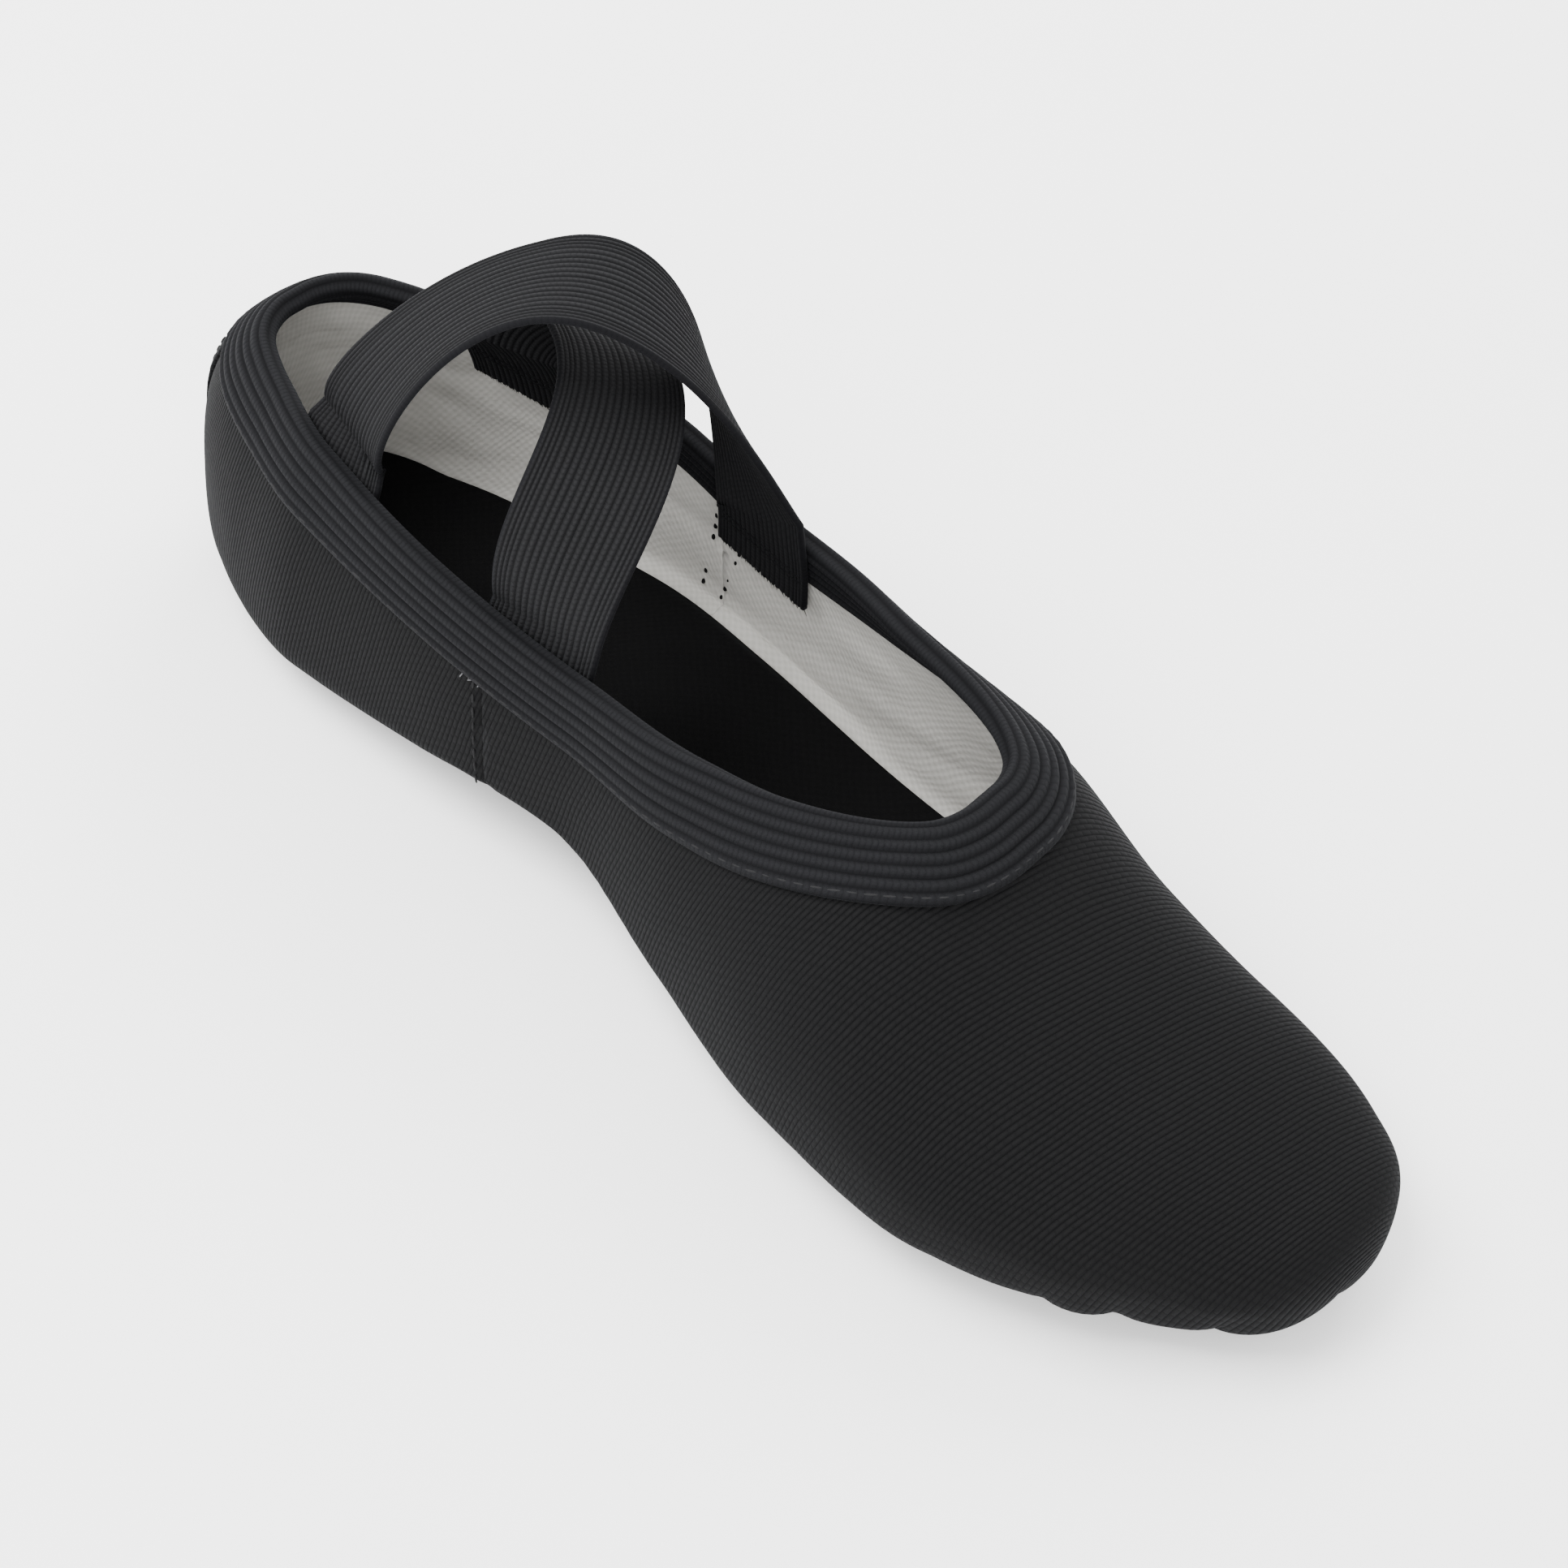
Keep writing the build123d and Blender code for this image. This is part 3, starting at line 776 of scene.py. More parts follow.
LINING_FINISH = Finish("Off-white cotton lining", (0.36, 0.35, 0.325), (0.56, 0.55, 0.52), Weave.PLAIN,
                       relief=0.12, nap=0.25, roughness=0.9, sheen=0.1, sheen_tint=(1.0, 1.0, 1.0))
SOCK_FINISH = Finish("Black brushed sock", (0.0012, 0.0012, 0.0013), (0.006, 0.006, 0.0062), Weave.PLAIN,
                     relief=0.06, nap=0.7, roughness=0.95, sheen=0.02, mapped=False)
SUEDE_FINISH = Finish("Black napped suede", (0.001, 0.001, 0.0011), (0.008, 0.008, 0.0083), Weave.NAP,
                      relief=0.3, nap=0.6, roughness=0.97, sheen=0.06, mapped=False, edge=0.75,
                      edge_color=(0.045, 0.045, 0.045))
PAD_FINISH = Finish("Needled cotton pad", (0.42, 0.40, 0.36), (0.66, 0.63, 0.57), Weave.NAP,
                    relief=0.3, nap=0.6, roughness=0.95, mapped=False)
DARK_THREAD = Finish("Dark grey thread", (0.003, 0.003, 0.003), (0.022, 0.022, 0.023), Weave.NAP,
                     relief=0.05, nap=0.5, roughness=0.7, mapped=False)
GREY_THREAD = Finish("Grey thread", (0.05, 0.05, 0.052), (0.15, 0.15, 0.155), Weave.NAP,
                     relief=0.05, nap=0.5, roughness=0.7, mapped=False)
BLACK_THREAD = Finish("Black thread", (0.001, 0.001, 0.001), (0.008, 0.008, 0.009), Weave.NAP,
                      relief=0.05, nap=0.5, roughness=0.7, mapped=False)


# ---------------------------------------------------------------- geometry nodes


class NodeRig:
    """A Geometry Nodes tree under construction."""

    def __init__(self, name: str, inputs: dict[str, str]) -> None:
        """Starts the tree with a geometry input and named inputs by socket type.

        Args:
            name: Tree name.
            inputs: Socket type for each named input.
        """
        self.tree = bpy.data.node_groups.new(name, "GeometryNodeTree")
        face = self.tree.interface
        face.new_socket("Geometry", in_out="INPUT", socket_type="NodeSocketGeometry")
        for label, kind in inputs.items():
            face.new_socket(label, in_out="INPUT", socket_type="NodeSocket" + kind)
        face.new_socket("Geometry", in_out="OUTPUT", socket_type="NodeSocketGeometry")
        self.source = self.tree.nodes.new("NodeGroupInput")
        self.out = self.tree.nodes.new("NodeGroupOutput")

    def add(self, kind: str, inputs: dict | None = None, **settings: object) -> bpy.types.Node:
        """Adds one node with its settings, values and links.

        Args:
            kind: Node type.
            inputs: Value or socket for each input.
            settings: Properties of the node.

        Returns:
            The new node.
        """
        node = self.tree.nodes.new(kind)
        for name, value in settings.items():
            setattr(node, name, value)
        for name, value in (inputs or {}).items():
            if isinstance(value, bpy.types.NodeSocket):
                self.tree.links.new(value, node.inputs[name])
            else:
                node.inputs[name].default_value = value
        return node

    def math(self, operation: str, a: object, b: object = 0.0, c: object = 0.0) -> bpy.types.NodeSocket:
        """Result of one maths node."""
        return self.add("ShaderNodeMath", {0: a, 1: b, 2: c}, operation=operation).outputs[0]

    def attribute(self, name: str, kind: str = "FLOAT") -> bpy.types.NodeSocket:
        """A named attribute of the geometry."""
        return self.add("GeometryNodeInputNamedAttribute", {"Name": name}, data_type=kind).outputs[0]

    def close(self, geometry: bpy.types.NodeSocket, material: bpy.types.NodeSocket) -> bpy.types.NodeTree:
        """Ends the tree with realized instances and a material.

        Args:
            geometry: Last geometry socket.
            material: Material input socket.

        Returns:
            The finished tree.
        """
        real = self.add("GeometryNodeRealizeInstances", {0: geometry})
        painted = self.add("GeometryNodeSetMaterial", {"Geometry": real.outputs[0], "Material": material})
        self.tree.links.new(painted.outputs[0], self.out.inputs[0])
        return self.tree


def rib_tree() -> bpy.types.NodeTree:
    """Raises rounded ribs along an elastic, counted by its rib_phase attribute.

    Returns:
        A geometry tree with Height, Roundness and Material inputs.
    """
    rig = NodeRig("Elastic ribs", {"Height": "Float", "Roundness": "Float", "Material": "Material"})
    phase, mask = rig.attribute("rib_phase"), rig.attribute("rib_mask")
    wave = rig.math("ABSOLUTE", rig.math("SINE", rig.math("MULTIPLY", phase, math.pi)))
    shaped = rig.math("SUBTRACT", rig.math("POWER", wave, rig.source.outputs["Roundness"]), 0.5)
    rise = rig.math("MULTIPLY", rig.math("MULTIPLY", shaped, mask), rig.source.outputs["Height"])
    normal = rig.add("GeometryNodeInputNormal").outputs[0]
    offset = rig.add("ShaderNodeVectorMath", {0: normal, "Scale": rise}, operation="SCALE").outputs[0]
    moved = rig.add("GeometryNodeSetPosition", {"Geometry": rig.source.outputs[0], "Offset": offset})
    return rig.close(moved.outputs[0], rig.source.outputs["Material"])


def stitch_tree() -> bpy.types.NodeTree:
    """Lays threads along polylines, standing on their 'up' attribute.

    Returns:
        A geometry tree that makes one thread for each stitch.
    """
    kinds = {"Pitch": "Float", "Length": "Float", "Thickness": "Float", "Turn": "Float",
             "Wander": "Float", "Seed": "Int", "Material": "Material"}
    rig = NodeRig("Stitches", kinds)
    get = rig.source.outputs
    line = rig.add("GeometryNodeMeshToCurve", {0: get[0]})
    dots = rig.add("GeometryNodeCurveToPoints", {"Curve": line.outputs[0], "Length": get["Pitch"]},
                   mode="LENGTH")
    ahead = rig.add("FunctionNodeAlignRotationToVector", {"Vector": dots.outputs["Tangent"]}, axis="X")
    upright = rig.add("FunctionNodeAlignRotationToVector",
                      {"Rotation": ahead.outputs[0], "Vector": rig.attribute("up", "FLOAT_VECTOR")},
                      axis="Z", pivot_axis="X")
    swing = rig.add("FunctionNodeRandomValue", {2: -1.0, 3: 1.0, "Seed": get["Seed"]}, data_type="FLOAT")
    angle = rig.math("MULTIPLY_ADD", swing.outputs[1], get["Wander"], get["Turn"])
    spin = rig.add("FunctionNodeAxisAngleToRotation", {"Axis": (0.0, 0.0, 1.0), "Angle": angle})
    turned = rig.add("FunctionNodeRotateRotation", {0: upright.outputs[0], 1: spin.outputs[0]},
                     rotation_space="LOCAL")
    size = rig.add("FunctionNodeRandomValue", {2: 0.86, 3: 1.14, "Seed": get["Seed"]}, data_type="FLOAT")
    ball = rig.add("GeometryNodeMeshUVSphere", {"Segments": 10, "Rings": 6, "Radius": 0.5})
    shape = rig.add("ShaderNodeCombineXYZ", {0: get["Length"], 1: get["Thickness"], 2: get["Thickness"]})
    bead = rig.add("GeometryNodeTransform", {"Geometry": ball.outputs[0], "Scale": shape.outputs[0]})
    smooth = rig.add("GeometryNodeSetShadeSmooth", {"Geometry": bead.outputs[0]})
    laid = rig.add("GeometryNodeInstanceOnPoints",
                   {"Points": dots.outputs["Points"], "Instance": smooth.outputs[0],
                    "Rotation": turned.outputs[0], "Scale": size.outputs[1]})
    return rig.close(laid.outputs[0], get["Material"])


def run_tree(obj: bpy.types.Object, tree: bpy.types.NodeTree, values: dict[str, object]) -> None:
    """Runs a tree on an object and keeps the result as its mesh.

    Args:
        obj: The object to change.
        tree: The Geometry Nodes tree.
        values: Input values by name.
    """
    modifier = obj.modifiers.new(tree.name, "NODES")
    modifier.node_group = tree
    for item in tree.interface.items_tree:
        if item.in_out == "INPUT" and item.name in values:
            modifier[item.identifier] = values[item.name]
    apply_modifiers(obj)


# ---------------------------------------------------------------- pieces


@dataclass
class Upper:
    """Canvas and lining shells of the slipper."""

    form: SlipperForm
    rings: int = 190
    half_columns: int = 84

    def surface(self) -> tuple[Array, Array, Array, Array]:
        """Points over the whole closed form.

        Returns:
            Points, outward normals, u per ring and v per corner.
        """
        dense_left = np.linspace(math.pi / 2, -math.pi / 2, 500)
        dense_right = np.linspace(-3 * math.pi / 2, -math.pi / 2, 500)
        tip = LENGTH / 2 - 0.02
        xs = -tip * np.cos(np.linspace(0, math.pi, self.rings))
        n = self.half_columns
        points, arcs = [], []
        for x in xs:
            left = resample(self.form.ring(float(x), dense_left), n + 1, False)
            right = resample(self.form.ring(float(x), dense_right), n + 1, False)
            reach = [np.linalg.norm(np.diff(side, axis=0), axis=1).sum() for side in (left, right)]
            points.append(np.vstack([left[:-1], right[::-1][:-1]]))
            arcs.append(np.concatenate([np.linspace(0, reach[0], n + 1)[:-1],
                                        np.linspace(-reach[1], 0, n + 1)]))
        points = np.array(points)
        du = np.linalg.norm(np.diff(points.mean(1), axis=0), axis=1)
        span = np.linalg.norm(points - points.mean(1, keepdims=True), axis=2).mean(1)
        du = np.hypot(du, np.diff(span))
        u = np.concatenate([[0], np.cumsum(du)])
        down = np.gradient(points, axis=0)
        round_ = np.roll(points, -1, 1) - np.roll(points, 1, 1)
        normal = unit(np.cross(round_, down))
        middle = points.mean(1, keepdims=True)
        flip = np.sign(((points - middle) * normal).sum(2, keepdims=True).mean(1, keepdims=True))
        return points, normal * np.where(flip == 0, 1, flip), u, np.array(arcs)

    def relief(self, p: Array) -> Array:
        """How far the canvas stands out from the form: pleats, seam and slack.

        Args:
            p: Points in form millimetres, one to a row.

        Returns:
            Millimetres outwards for each point.
        """
        flat = p.reshape(-1, 3)
        x, y, z = flat.T
        turn = np.arctan2(y + 4, x - 70)
        wobble = ripple(flat, 24.0, 3.0)
        wave = 1 - np.abs(np.sin(turn * 8.5 + wobble * 1.1)) ** 0.6
        under = ramp(z, 14.0, 5.0) * ramp(x, 66, 86)
        heel_turn = np.arctan2(y, -(x + 88))
        heel_wave = 1 - np.abs(np.sin(heel_turn * 6.0 + wobble)) ** 0.6
        heel_under = ramp(z, 12.0, 5.0) * ramp(-x, 92, 108)
        seam = seam_distance(flat)
        out = -1.5 * under * wave - 0.7 * heel_under * heel_wave
        out -= 0.28 * np.exp(-(seam / 0.8) ** 2)
        out += 0.16 * ripple(flat, 20.0, 8.0) * ramp(z, 2.0, 8.0)
        pucker = np.exp(-(seam / 6.0) ** 2) * np.sin(z * 1.9 + 2 * wobble) * ramp(z, 4.0, 10.0)
        out += 0.10 * pucker
        return out.reshape(p.shape[:-1])

    def wrinkles(self, p: Array) -> Array:
        """How far the lining stands in from its place: long soft folds.

        Args:
            p: Points in form millimetres, one to a row.

        Returns:
            Millimetres inwards for each point.
        """
        flat = p.reshape(-1, 3)
        stretched = flat * (0.35, 1.0, 1.0)
        fold = np.abs(ripple(stretched, 11.0, 2.0)) + 0.5 * np.abs(ripple(stretched, 6.0, 5.0))
        lower = ramp(flat[:, 2], 4.0, 14.0)
        return (0.9 * fold * lower).reshape(p.shape[:-1])

    def shell(self, name: str, depth: float, clear: float,
              outward: Callable[[Array], Array]) -> bpy.types.Object:
        """One closed layer of the upper, open above the topline.

        Args:
            name: Object name.
            depth: Depth of its outer face under the form.
            clear: How far below the topline it stops.
            outward: Stand-off from the form at the form's points.

        Returns:
            A sheet, not yet thickened.
        """
        points, normals, u, v = self.surface()
        moved = points + normals * (outward(points) - depth)[..., None]

        def below_topline(centres: Array) -> Array:
            """Which quads lie far enough below the topline."""
            return centres[:, 2] < self.form.read("topline", centres[:, 0]) - clear

        return GridMesh(name, moved, u, v, wrap_columns=True, keep=below_topline).build()

    def piece(self, source: bpy.types.Object, thickness: float, name: str, cuts: Sequence[tuple],
              finish: Finish, slot: str, node: str) -> bpy.types.Object:
        """Part of a shell between planes, thickened and finished.

        Args:
            source: Shell that the piece is cut from.
            thickness: Thickness of the layer.
            name: Object name.
            cuts: A point and a direction for each cut.
            finish: Finish of the cloth.
            slot: Material slot; not used.
            node: CAD node that it stands for.

        Returns:
            The finished object.
        """
        obj = source.copy()
        obj.data = source.data.copy()
        obj.name = obj.data.name = name
        bpy.context.scene.collection.objects.link(obj)
        for point, normal in cuts:
            cut_away(obj, point, normal)
        thicken(obj, thickness, -1.0)
        obj.data.materials.append(material_of(finish))
        stand_for(obj, slot, node)
        return obj

    def build(self) -> list[bpy.types.Object]:
        """Makes the canvas pieces and linings.

        Returns:
            Vamp, two quarters and two linings.
        """
        lean = (SEAM_TOP - SEAM_FOOT) / SEAM_TOP_HEIGHT
        ahead, behind = (1.0, 0.0, -lean), (-1.0, 0.0, lean)
        seam = (SEAM_FOOT, 0.0, 0.0)
        canvas = self.shell("canvas_source", 0.0, 2.5, self.relief)
        lining = self.shell("lining_source", LINING_DEPTH, 3.5,
                            lambda p: np.minimum(self.relief(p), 0.0) - self.wrinkles(p))
        pieces = [
            self.piece(canvas, CANVAS, "vamp", [(seam, behind)], CANVAS_FINISH, "canvas", "vamp_canvas"),
            self.piece(canvas, CANVAS, "quarter_left", [(seam, ahead), ((0.0, 0.03, 0.0), (0.0, -1.0, 0.0))],
                       CANVAS_FINISH, "canvas", "quarter_canvas_left"),
            self.piece(canvas, CANVAS, "quarter_right", [(seam, ahead), ((0.0, -0.03, 0.0), (0.0, 1.0, 0.0))],
                       CANVAS_FINISH, "canvas", "quarter_canvas_right"),
            self.piece(lining, LINING, "lining_vamp", [(seam, behind)], LINING_FINISH, "lining",
                       "vamp_lining"),
            self.piece(lining, LINING, "lining_quarters", [(seam, ahead)], LINING_FINISH, "lining",
                       "quarter_lining"),
        ]
        for source in (canvas, lining):
            bpy.data.objects.remove(source)
        for obj in (pieces[0], pieces[3]):
            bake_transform(obj)
        for obj in (pieces[1], pieces[2], pieces[4]):
            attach(obj, "heel")
        return pieces


def seam_distance(p: Array) -> Array:
    """Distance along the length from the slanted plane of the side seams."""
    return p[:, 0] - (SEAM_FOOT + (SEAM_TOP - SEAM_FOOT) / SEAM_TOP_HEIGHT * p[:, 2])


@dataclass
class Binding:
    """Ribbed elastic folded over the topline."""

    form: SlipperForm
    count: int = 420
    step: float = 0.35
    rib: float = 1.92
    rows: Array = field(init=False)
    normals: Array = field(init=False)
    fall: Array = field(init=False)

    def __post_init__(self) -> None:
        """Walks down the form from the topline."""
        loop = self.form.topline_loop(self.count)
        ahead = unit(np.roll(loop, -1, 0) - np.roll(loop, 1, 0))
        normal = self.form.normals(loop)
        fall = unit(np.cross(ahead, normal))
        fall *= -np.sign(fall[:, 2:3])
        self.fall = fall
        steps = int(round(BINDING_OUTSIDE / self.step)) + 1
        self.rows, self.normals = self.form.march(loop, fall, self.step, steps)

    def at(self, depth: float, lift: float) -> Array:
        """Line round the foot at a depth below the topline, lifted off the form.

        Args:
            depth: Depth below the topline.
            lift: Distance outwards from the form.

        Returns:
            One point for each step round the foot.
        """
        k = depth / self.step
        i = min(int(k), len(self.rows) - 2)
        t = k - i
        place = self.rows[i] * (1 - t) + self.rows[i + 1] * t
        normal = unit(self.normals[i] * (1 - t) + self.normals[i + 1] * t)
        return place + normal * lift

    def build(self) -> bpy.types.Object:
        """Makes the folded elastic.

        Returns:
            The finished object.
        """
        outer = LAYER_GAP + ELASTIC
        inner = -(CANVAS + 2 * LAYER_GAP + LINING + ELASTIC)
        lines, across = [], []
        for depth in np.arange(BINDING_OUTSIDE, 0.01, -self.step):
            roll = 0.35 * ramp(depth, BINDING_OUTSIDE - 0.8, BINDING_OUTSIDE)
            lines.append(self.at(depth, outer - roll))
            across.append(BINDING_OUTSIDE - depth)
        centre, radius = (outer + inner) / 2, (outer - inner) / 2
        for k in range(11):
            a = math.pi * k / 10
            cap = self.rows[0] - self.fall * (outer * math.sin(a))
            lines.append(cap + self.normals[0] * (centre + radius * math.cos(a)))
            across.append(BINDING_OUTSIDE + 4.4 * k / 10)
        for depth in np.arange(self.step, BINDING_INSIDE + 0.01, self.step):
            lines.append(self.at(depth, inner))
            across.append(BINDING_OUTSIDE + 4.4 + depth)
        seen = len(lines)
        hidden = [(BINDING_INSIDE, inner + ELASTIC), (0.6, inner + ELASTIC), (0.6, LAYER_GAP),
                  (BINDING_OUTSIDE, LAYER_GAP)]
        for depth, lift in hidden:
            lines.append(self.at(depth, lift))
            across.append(across[-1] + 1.0)
        points = np.stack(lines, 1)
        closed = np.vstack([self.rows[0], self.rows[0][:1]])
        u = np.concatenate([[0], np.cumsum(np.linalg.norm(np.diff(closed, axis=0), axis=1))])
        v = np.array([*across, across[-1] + 1.0])
        mask = np.array([1.0] * seen + [0.0] * len(hidden))
        edge = ramp(np.array(across), 0.0, 1.2) * ramp(np.array(across), v[seen - 1], v[seen - 1] - 1.0)
        phase = np.tile(np.array(across) / self.rib, (len(points), 1))
        values = {"rib_phase": phase.ravel(), "rib_mask": np.tile(mask * edge, (len(points), 1)).ravel()}
        obj = GridMesh("binding", points, u, v, True, True, values).build()
        run_tree(obj, rib_tree(), {"Height": 0.5 * MM, "Roundness": 0.6,
                                   "Material": material_of(BINDING_FINISH)})
        shade(obj)
        stand_for(obj, "elastic", "topline_binding")
        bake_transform(obj)
        return obj


@dataclass
class BackStrip:
    """Tape over the centre back seam."""

    form: SlipperForm
    start: float = 45.6
    rows: Array = field(init=False)
    normals: Array = field(init=False)

    def __post_init__(self) -> None:
        """Lays the tape on the heel, then walks on under it."""
        half = BACK_STRIP_WIDTH / 2
        y, z = np.meshgrid(np.linspace(-half, half, 25), np.arange(self.start, 7.0, -0.9))
        near, far = np.full_like(y, -119.99), np.full_like(y, -100.0)
        for _ in range(40):
            x = (near + far) / 2
            inside = self.form.level(np.stack([x, y, z], 2).reshape(-1, 3)).reshape(x.shape) < 0
            near, far = np.where(inside, near, x), np.where(inside, x, far)
        wall = np.stack([near, y, z], 2)
        below, _ = self.form.march(wall[-1], unit(wall[-1] - wall[-2]), 0.9, 7)
        self.rows = np.concatenate([wall, below[1:]])
        across, down = np.gradient(self.rows, axis=1), np.gradient(self.rows, axis=0)
        normal = unit(np.cross(across, down))
        self.normals = normal * -np.sign(normal[:, :, :1].mean())

    def build(self) -> bpy.types.Object:
        """Makes the tape, rounded at its sides.

        Returns:
            The finished object.
        """
        columns = self.rows.shape[1]
        side = np.abs(np.linspace(-1, 1, columns))
        lift = LAYER_GAP + TAPE - 0.35 * ramp(side, 0.85, 1.0)
        flat = self.rows.reshape(-1, 3)
        slack = 0.12 * ripple(flat, 6.0, 4.0).reshape(self.rows.shape[:2])
        points = self.rows + self.normals * (lift[None, :] + slack)[..., None]
        u = np.arange(len(points)) * 0.9
        v = np.linspace(0, BACK_STRIP_WIDTH, columns)
        obj = GridMesh("back_tape", points, u, v).build()
        thicken(obj, TAPE - 0.1, -1.0)
        obj.data.materials.append(material_of(STRIP_FINISH))
        stand_for(obj, "canvas", "back_strip")
        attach(obj, "heel")
        return obj

    def row(self, column: int) -> tuple[Array, Array]:
        """Line and normals up the tape at one column."""
        keep = slice(0, len(self.rows) - 6)
        n = self.normals[keep, column]
        return self.rows[keep, column] + n * (LAYER_GAP + TAPE + 0.08), n


@dataclass
class Sole:
    """Suede patches, pads and the insole sock."""

    form: SlipperForm
    under: SlipperForm
    pad_form: SlipperForm
    sock_form: SlipperForm

    def outline(self, place: tuple, grow: float, turns: Array) -> Array:
        """Points in plan on a patch's egg-shaped outline, moved out by grow.

        Args:
            place: Rear end, front end and half width.
            grow: Distance moved out.
            turns: Angles round the outline.

        Returns:
            One point for each angle.
        """
        rear, front, half = place
        width = (half + grow) * (1 + 0.10 * np.cos(turns))
        return np.stack([(rear + front) / 2 + ((front - rear) / 2 + grow) * np.cos(turns),
                         width * np.sin(turns)], 1)

    def disc(self, place: tuple, shift: float, grow: float, rings: int, turns: int) -> tuple[Array, Array]:
        """Points in plan from an egg's middle to its outline, and their share of the way.

        Args:
            place: Rear end, front end and half width.
            shift: Distance moved sideways.
            grow: Distance moved out.
            rings: Number of rings.
            turns: Points in a ring.

        Returns:
            The points, and each one's share of the way out.
        """
        angle = np.linspace(0, 2 * math.pi, turns, endpoint=False)
        edge = self.outline(place, grow, angle)
        centre = np.array([(place[0] + place[1]) / 2, 0.0])
        share = np.linspace(0, 1, rings) ** 0.8
        plan = centre + (edge - centre)[None] * share[:, None, None]
        plan[..., 1] += shift
        return plan, share

    def patch(self, name: str, place: tuple, shift: float, node: str, body: str) -> bpy.types.Object:
        """Suede patch with a feathered edge and a sunk row for its thread.

        Args:
            name: Object name.
            place: Rear end, front end and half width.
            shift: Distance moved sideways.
            node: CAD node that it stands for.
            body: Body that it rides on.

        Returns:
            The finished object.
        """
        plan, share = self.disc(place, shift, 0.0, 60, 200)
        x, y = plan[..., 0], plan[..., 1]
        low = np.maximum(self.under.floor_z(x, y), 0.0)
        high = self.form.floor_z(x, y) - LAYER_GAP
        inward = (1 - share)[:, None] * np.hypot(x[-1] - x[0], y[-1] - y[0])[None]
        row = np.exp(-((inward - PATCH_ROW) / 0.7) ** 2)
        turn = np.linspace(0, 2 * math.pi, x.shape[1], endpoint=False)
        pucker = 0.75 + 0.25 * np.cos(turn * round((place[1] - place[0]) * 0.9))[None]
        low = low + 0.35 * row * pucker + 0.9 * ramp(inward, 1.1, 0.0)
        low = low + 0.10 * np.abs(ripple(np.stack([x, y, low], 2).reshape(-1, 3), 3.0, 6.0)).reshape(x.shape)
        low = np.minimum(low, high - 0.15)
        bottom = np.stack([x, y, low], 2)
        top = np.stack([x, y, high], 2)[::-1]
        points = np.concatenate([bottom, top])
        fuzz = np.concatenate([ramp(inward, 1.6, 0.1), ramp(inward, 1.6, 0.1)[::-1]])
        u = np.arange(len(points)) * 1.0
        v = np.linspace(0, 200, points.shape[1] + 1)
        obj = GridMesh(name, points, u, v, False, True, {"edge": fuzz.ravel()}).build()
        obj.data.materials.append(material_of(SUEDE_FINISH))
        stand_for(obj, "suede", node)
        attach(obj, body)
        return obj

    def patch_row(self, place: tuple, shift: float) -> Array:
        """Closed line of a patch's thread, sunk in the suede.

        Args:
            place: Rear end, front end and half width.
            shift: Distance moved sideways.

        Returns:
            The points, in order.
        """
        turns = np.linspace(0, 2 * math.pi, 240, endpoint=False)
        plan = self.outline(place, -PATCH_ROW, turns)
        plan[:, 1] += shift
        low = np.maximum(self.under.floor_z(plan[:, 0], plan[:, 1]), 0.0)
        return np.stack([plan[:, 0], plan[:, 1], low + 0.28], 1)

    def pad(self, name: str, place: tuple, shift: float, node: str, body: str) -> bpy.types.Object:
        """Rounded pad under the sock.

        Args:
            name: Object name.
            place: Rear end, front end and half width.
            shift: Distance moved sideways.
            node: CAD node that it stands for.
            body: Body that it rides on.

        Returns:
            The finished object.
        """
        plan, share = self.disc(place, shift, 0.0, 24, 72)
        x, y = plan[..., 0], plan[..., 1]
        low = self.pad_form.floor_z(x, y)
        crown = (1 - share ** 6)[:, None] * (PAD - 0.15)
        below, above = np.stack([x, y, low + 0.05], 2), np.stack([x, y, low + 0.1 + crown], 2)
        points = np.concatenate([below, above[::-1]])
        obj = GridMesh(name, points, np.arange(len(points)) * 1.0, np.arange(73) * 1.0, False, True).build()
        obj.data.materials.append(material_of(PAD_FINISH))
        stand_for(obj, "padding", node)
        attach(obj, body)
        return obj

    def sock(self) -> bpy.types.Object:
        """Insole sock over both pads, its edge turned slightly up the wall.

        Returns:
            The finished object.
        """
        margin = SlipperForm(SOCK_DEPTH + INSOLE + 0.9)
        half = LENGTH / 2 - margin.inset - 0.1
        xs = -half * np.cos(np.linspace(0, math.pi, 150))
        side = np.sin(np.linspace(-math.pi / 2, math.pi / 2, 61))
        width = np.where(side[None] > 0, margin.read("left", xs)[:, None], margin.read("right", xs)[:, None])
        y = side[None] * width
        x = np.repeat(xs[:, None], len(side), 1)
        flat = self.sock_form.floor_z(x, y)
        rim = ramp(np.abs(side), 0.93, 1.0)[None]
        dip = 0.25 * ripple(np.stack([x, y, flat], 2).reshape(-1, 3), 22.0, 9.0).reshape(x.shape)
        high = flat + dip - 0.35 * rim
        low = flat - INSOLE + 0.1
        points = np.concatenate([np.stack([x, y, high], 2), np.stack([x, y, low], 2)[:, ::-1]], 1)
        obj = GridMesh("insole", points, xs, np.arange(points.shape[1] + 1) * 1.0, False, True).build()
        obj.data.materials.append(material_of(SOCK_FINISH))
        stand_for(obj, "sock", "insole_sock")
        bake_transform(obj)
        return obj

    def build(self) -> list[bpy.types.Object]:
        """Makes the sole's five pieces.

        Returns:
            Two patches, two pads and the sock.
        """
        return [
            self.patch("forefoot_patch", FOREFOOT_PATCH, PATCH_SHIFT, "forefoot_sole_patch", "forefoot"),
            self.patch("heel_patch", HEEL_PATCH, 0.0, "heel_sole_patch", "heel"),
            self.pad("pad_forefoot", FOREFOOT_PAD, PATCH_SHIFT, "forefoot_pad", "forefoot"),
            self.pad("pad_heel", HEEL_PAD, 0.0, "heel_pad", "heel"),
            self.sock(),
        ]


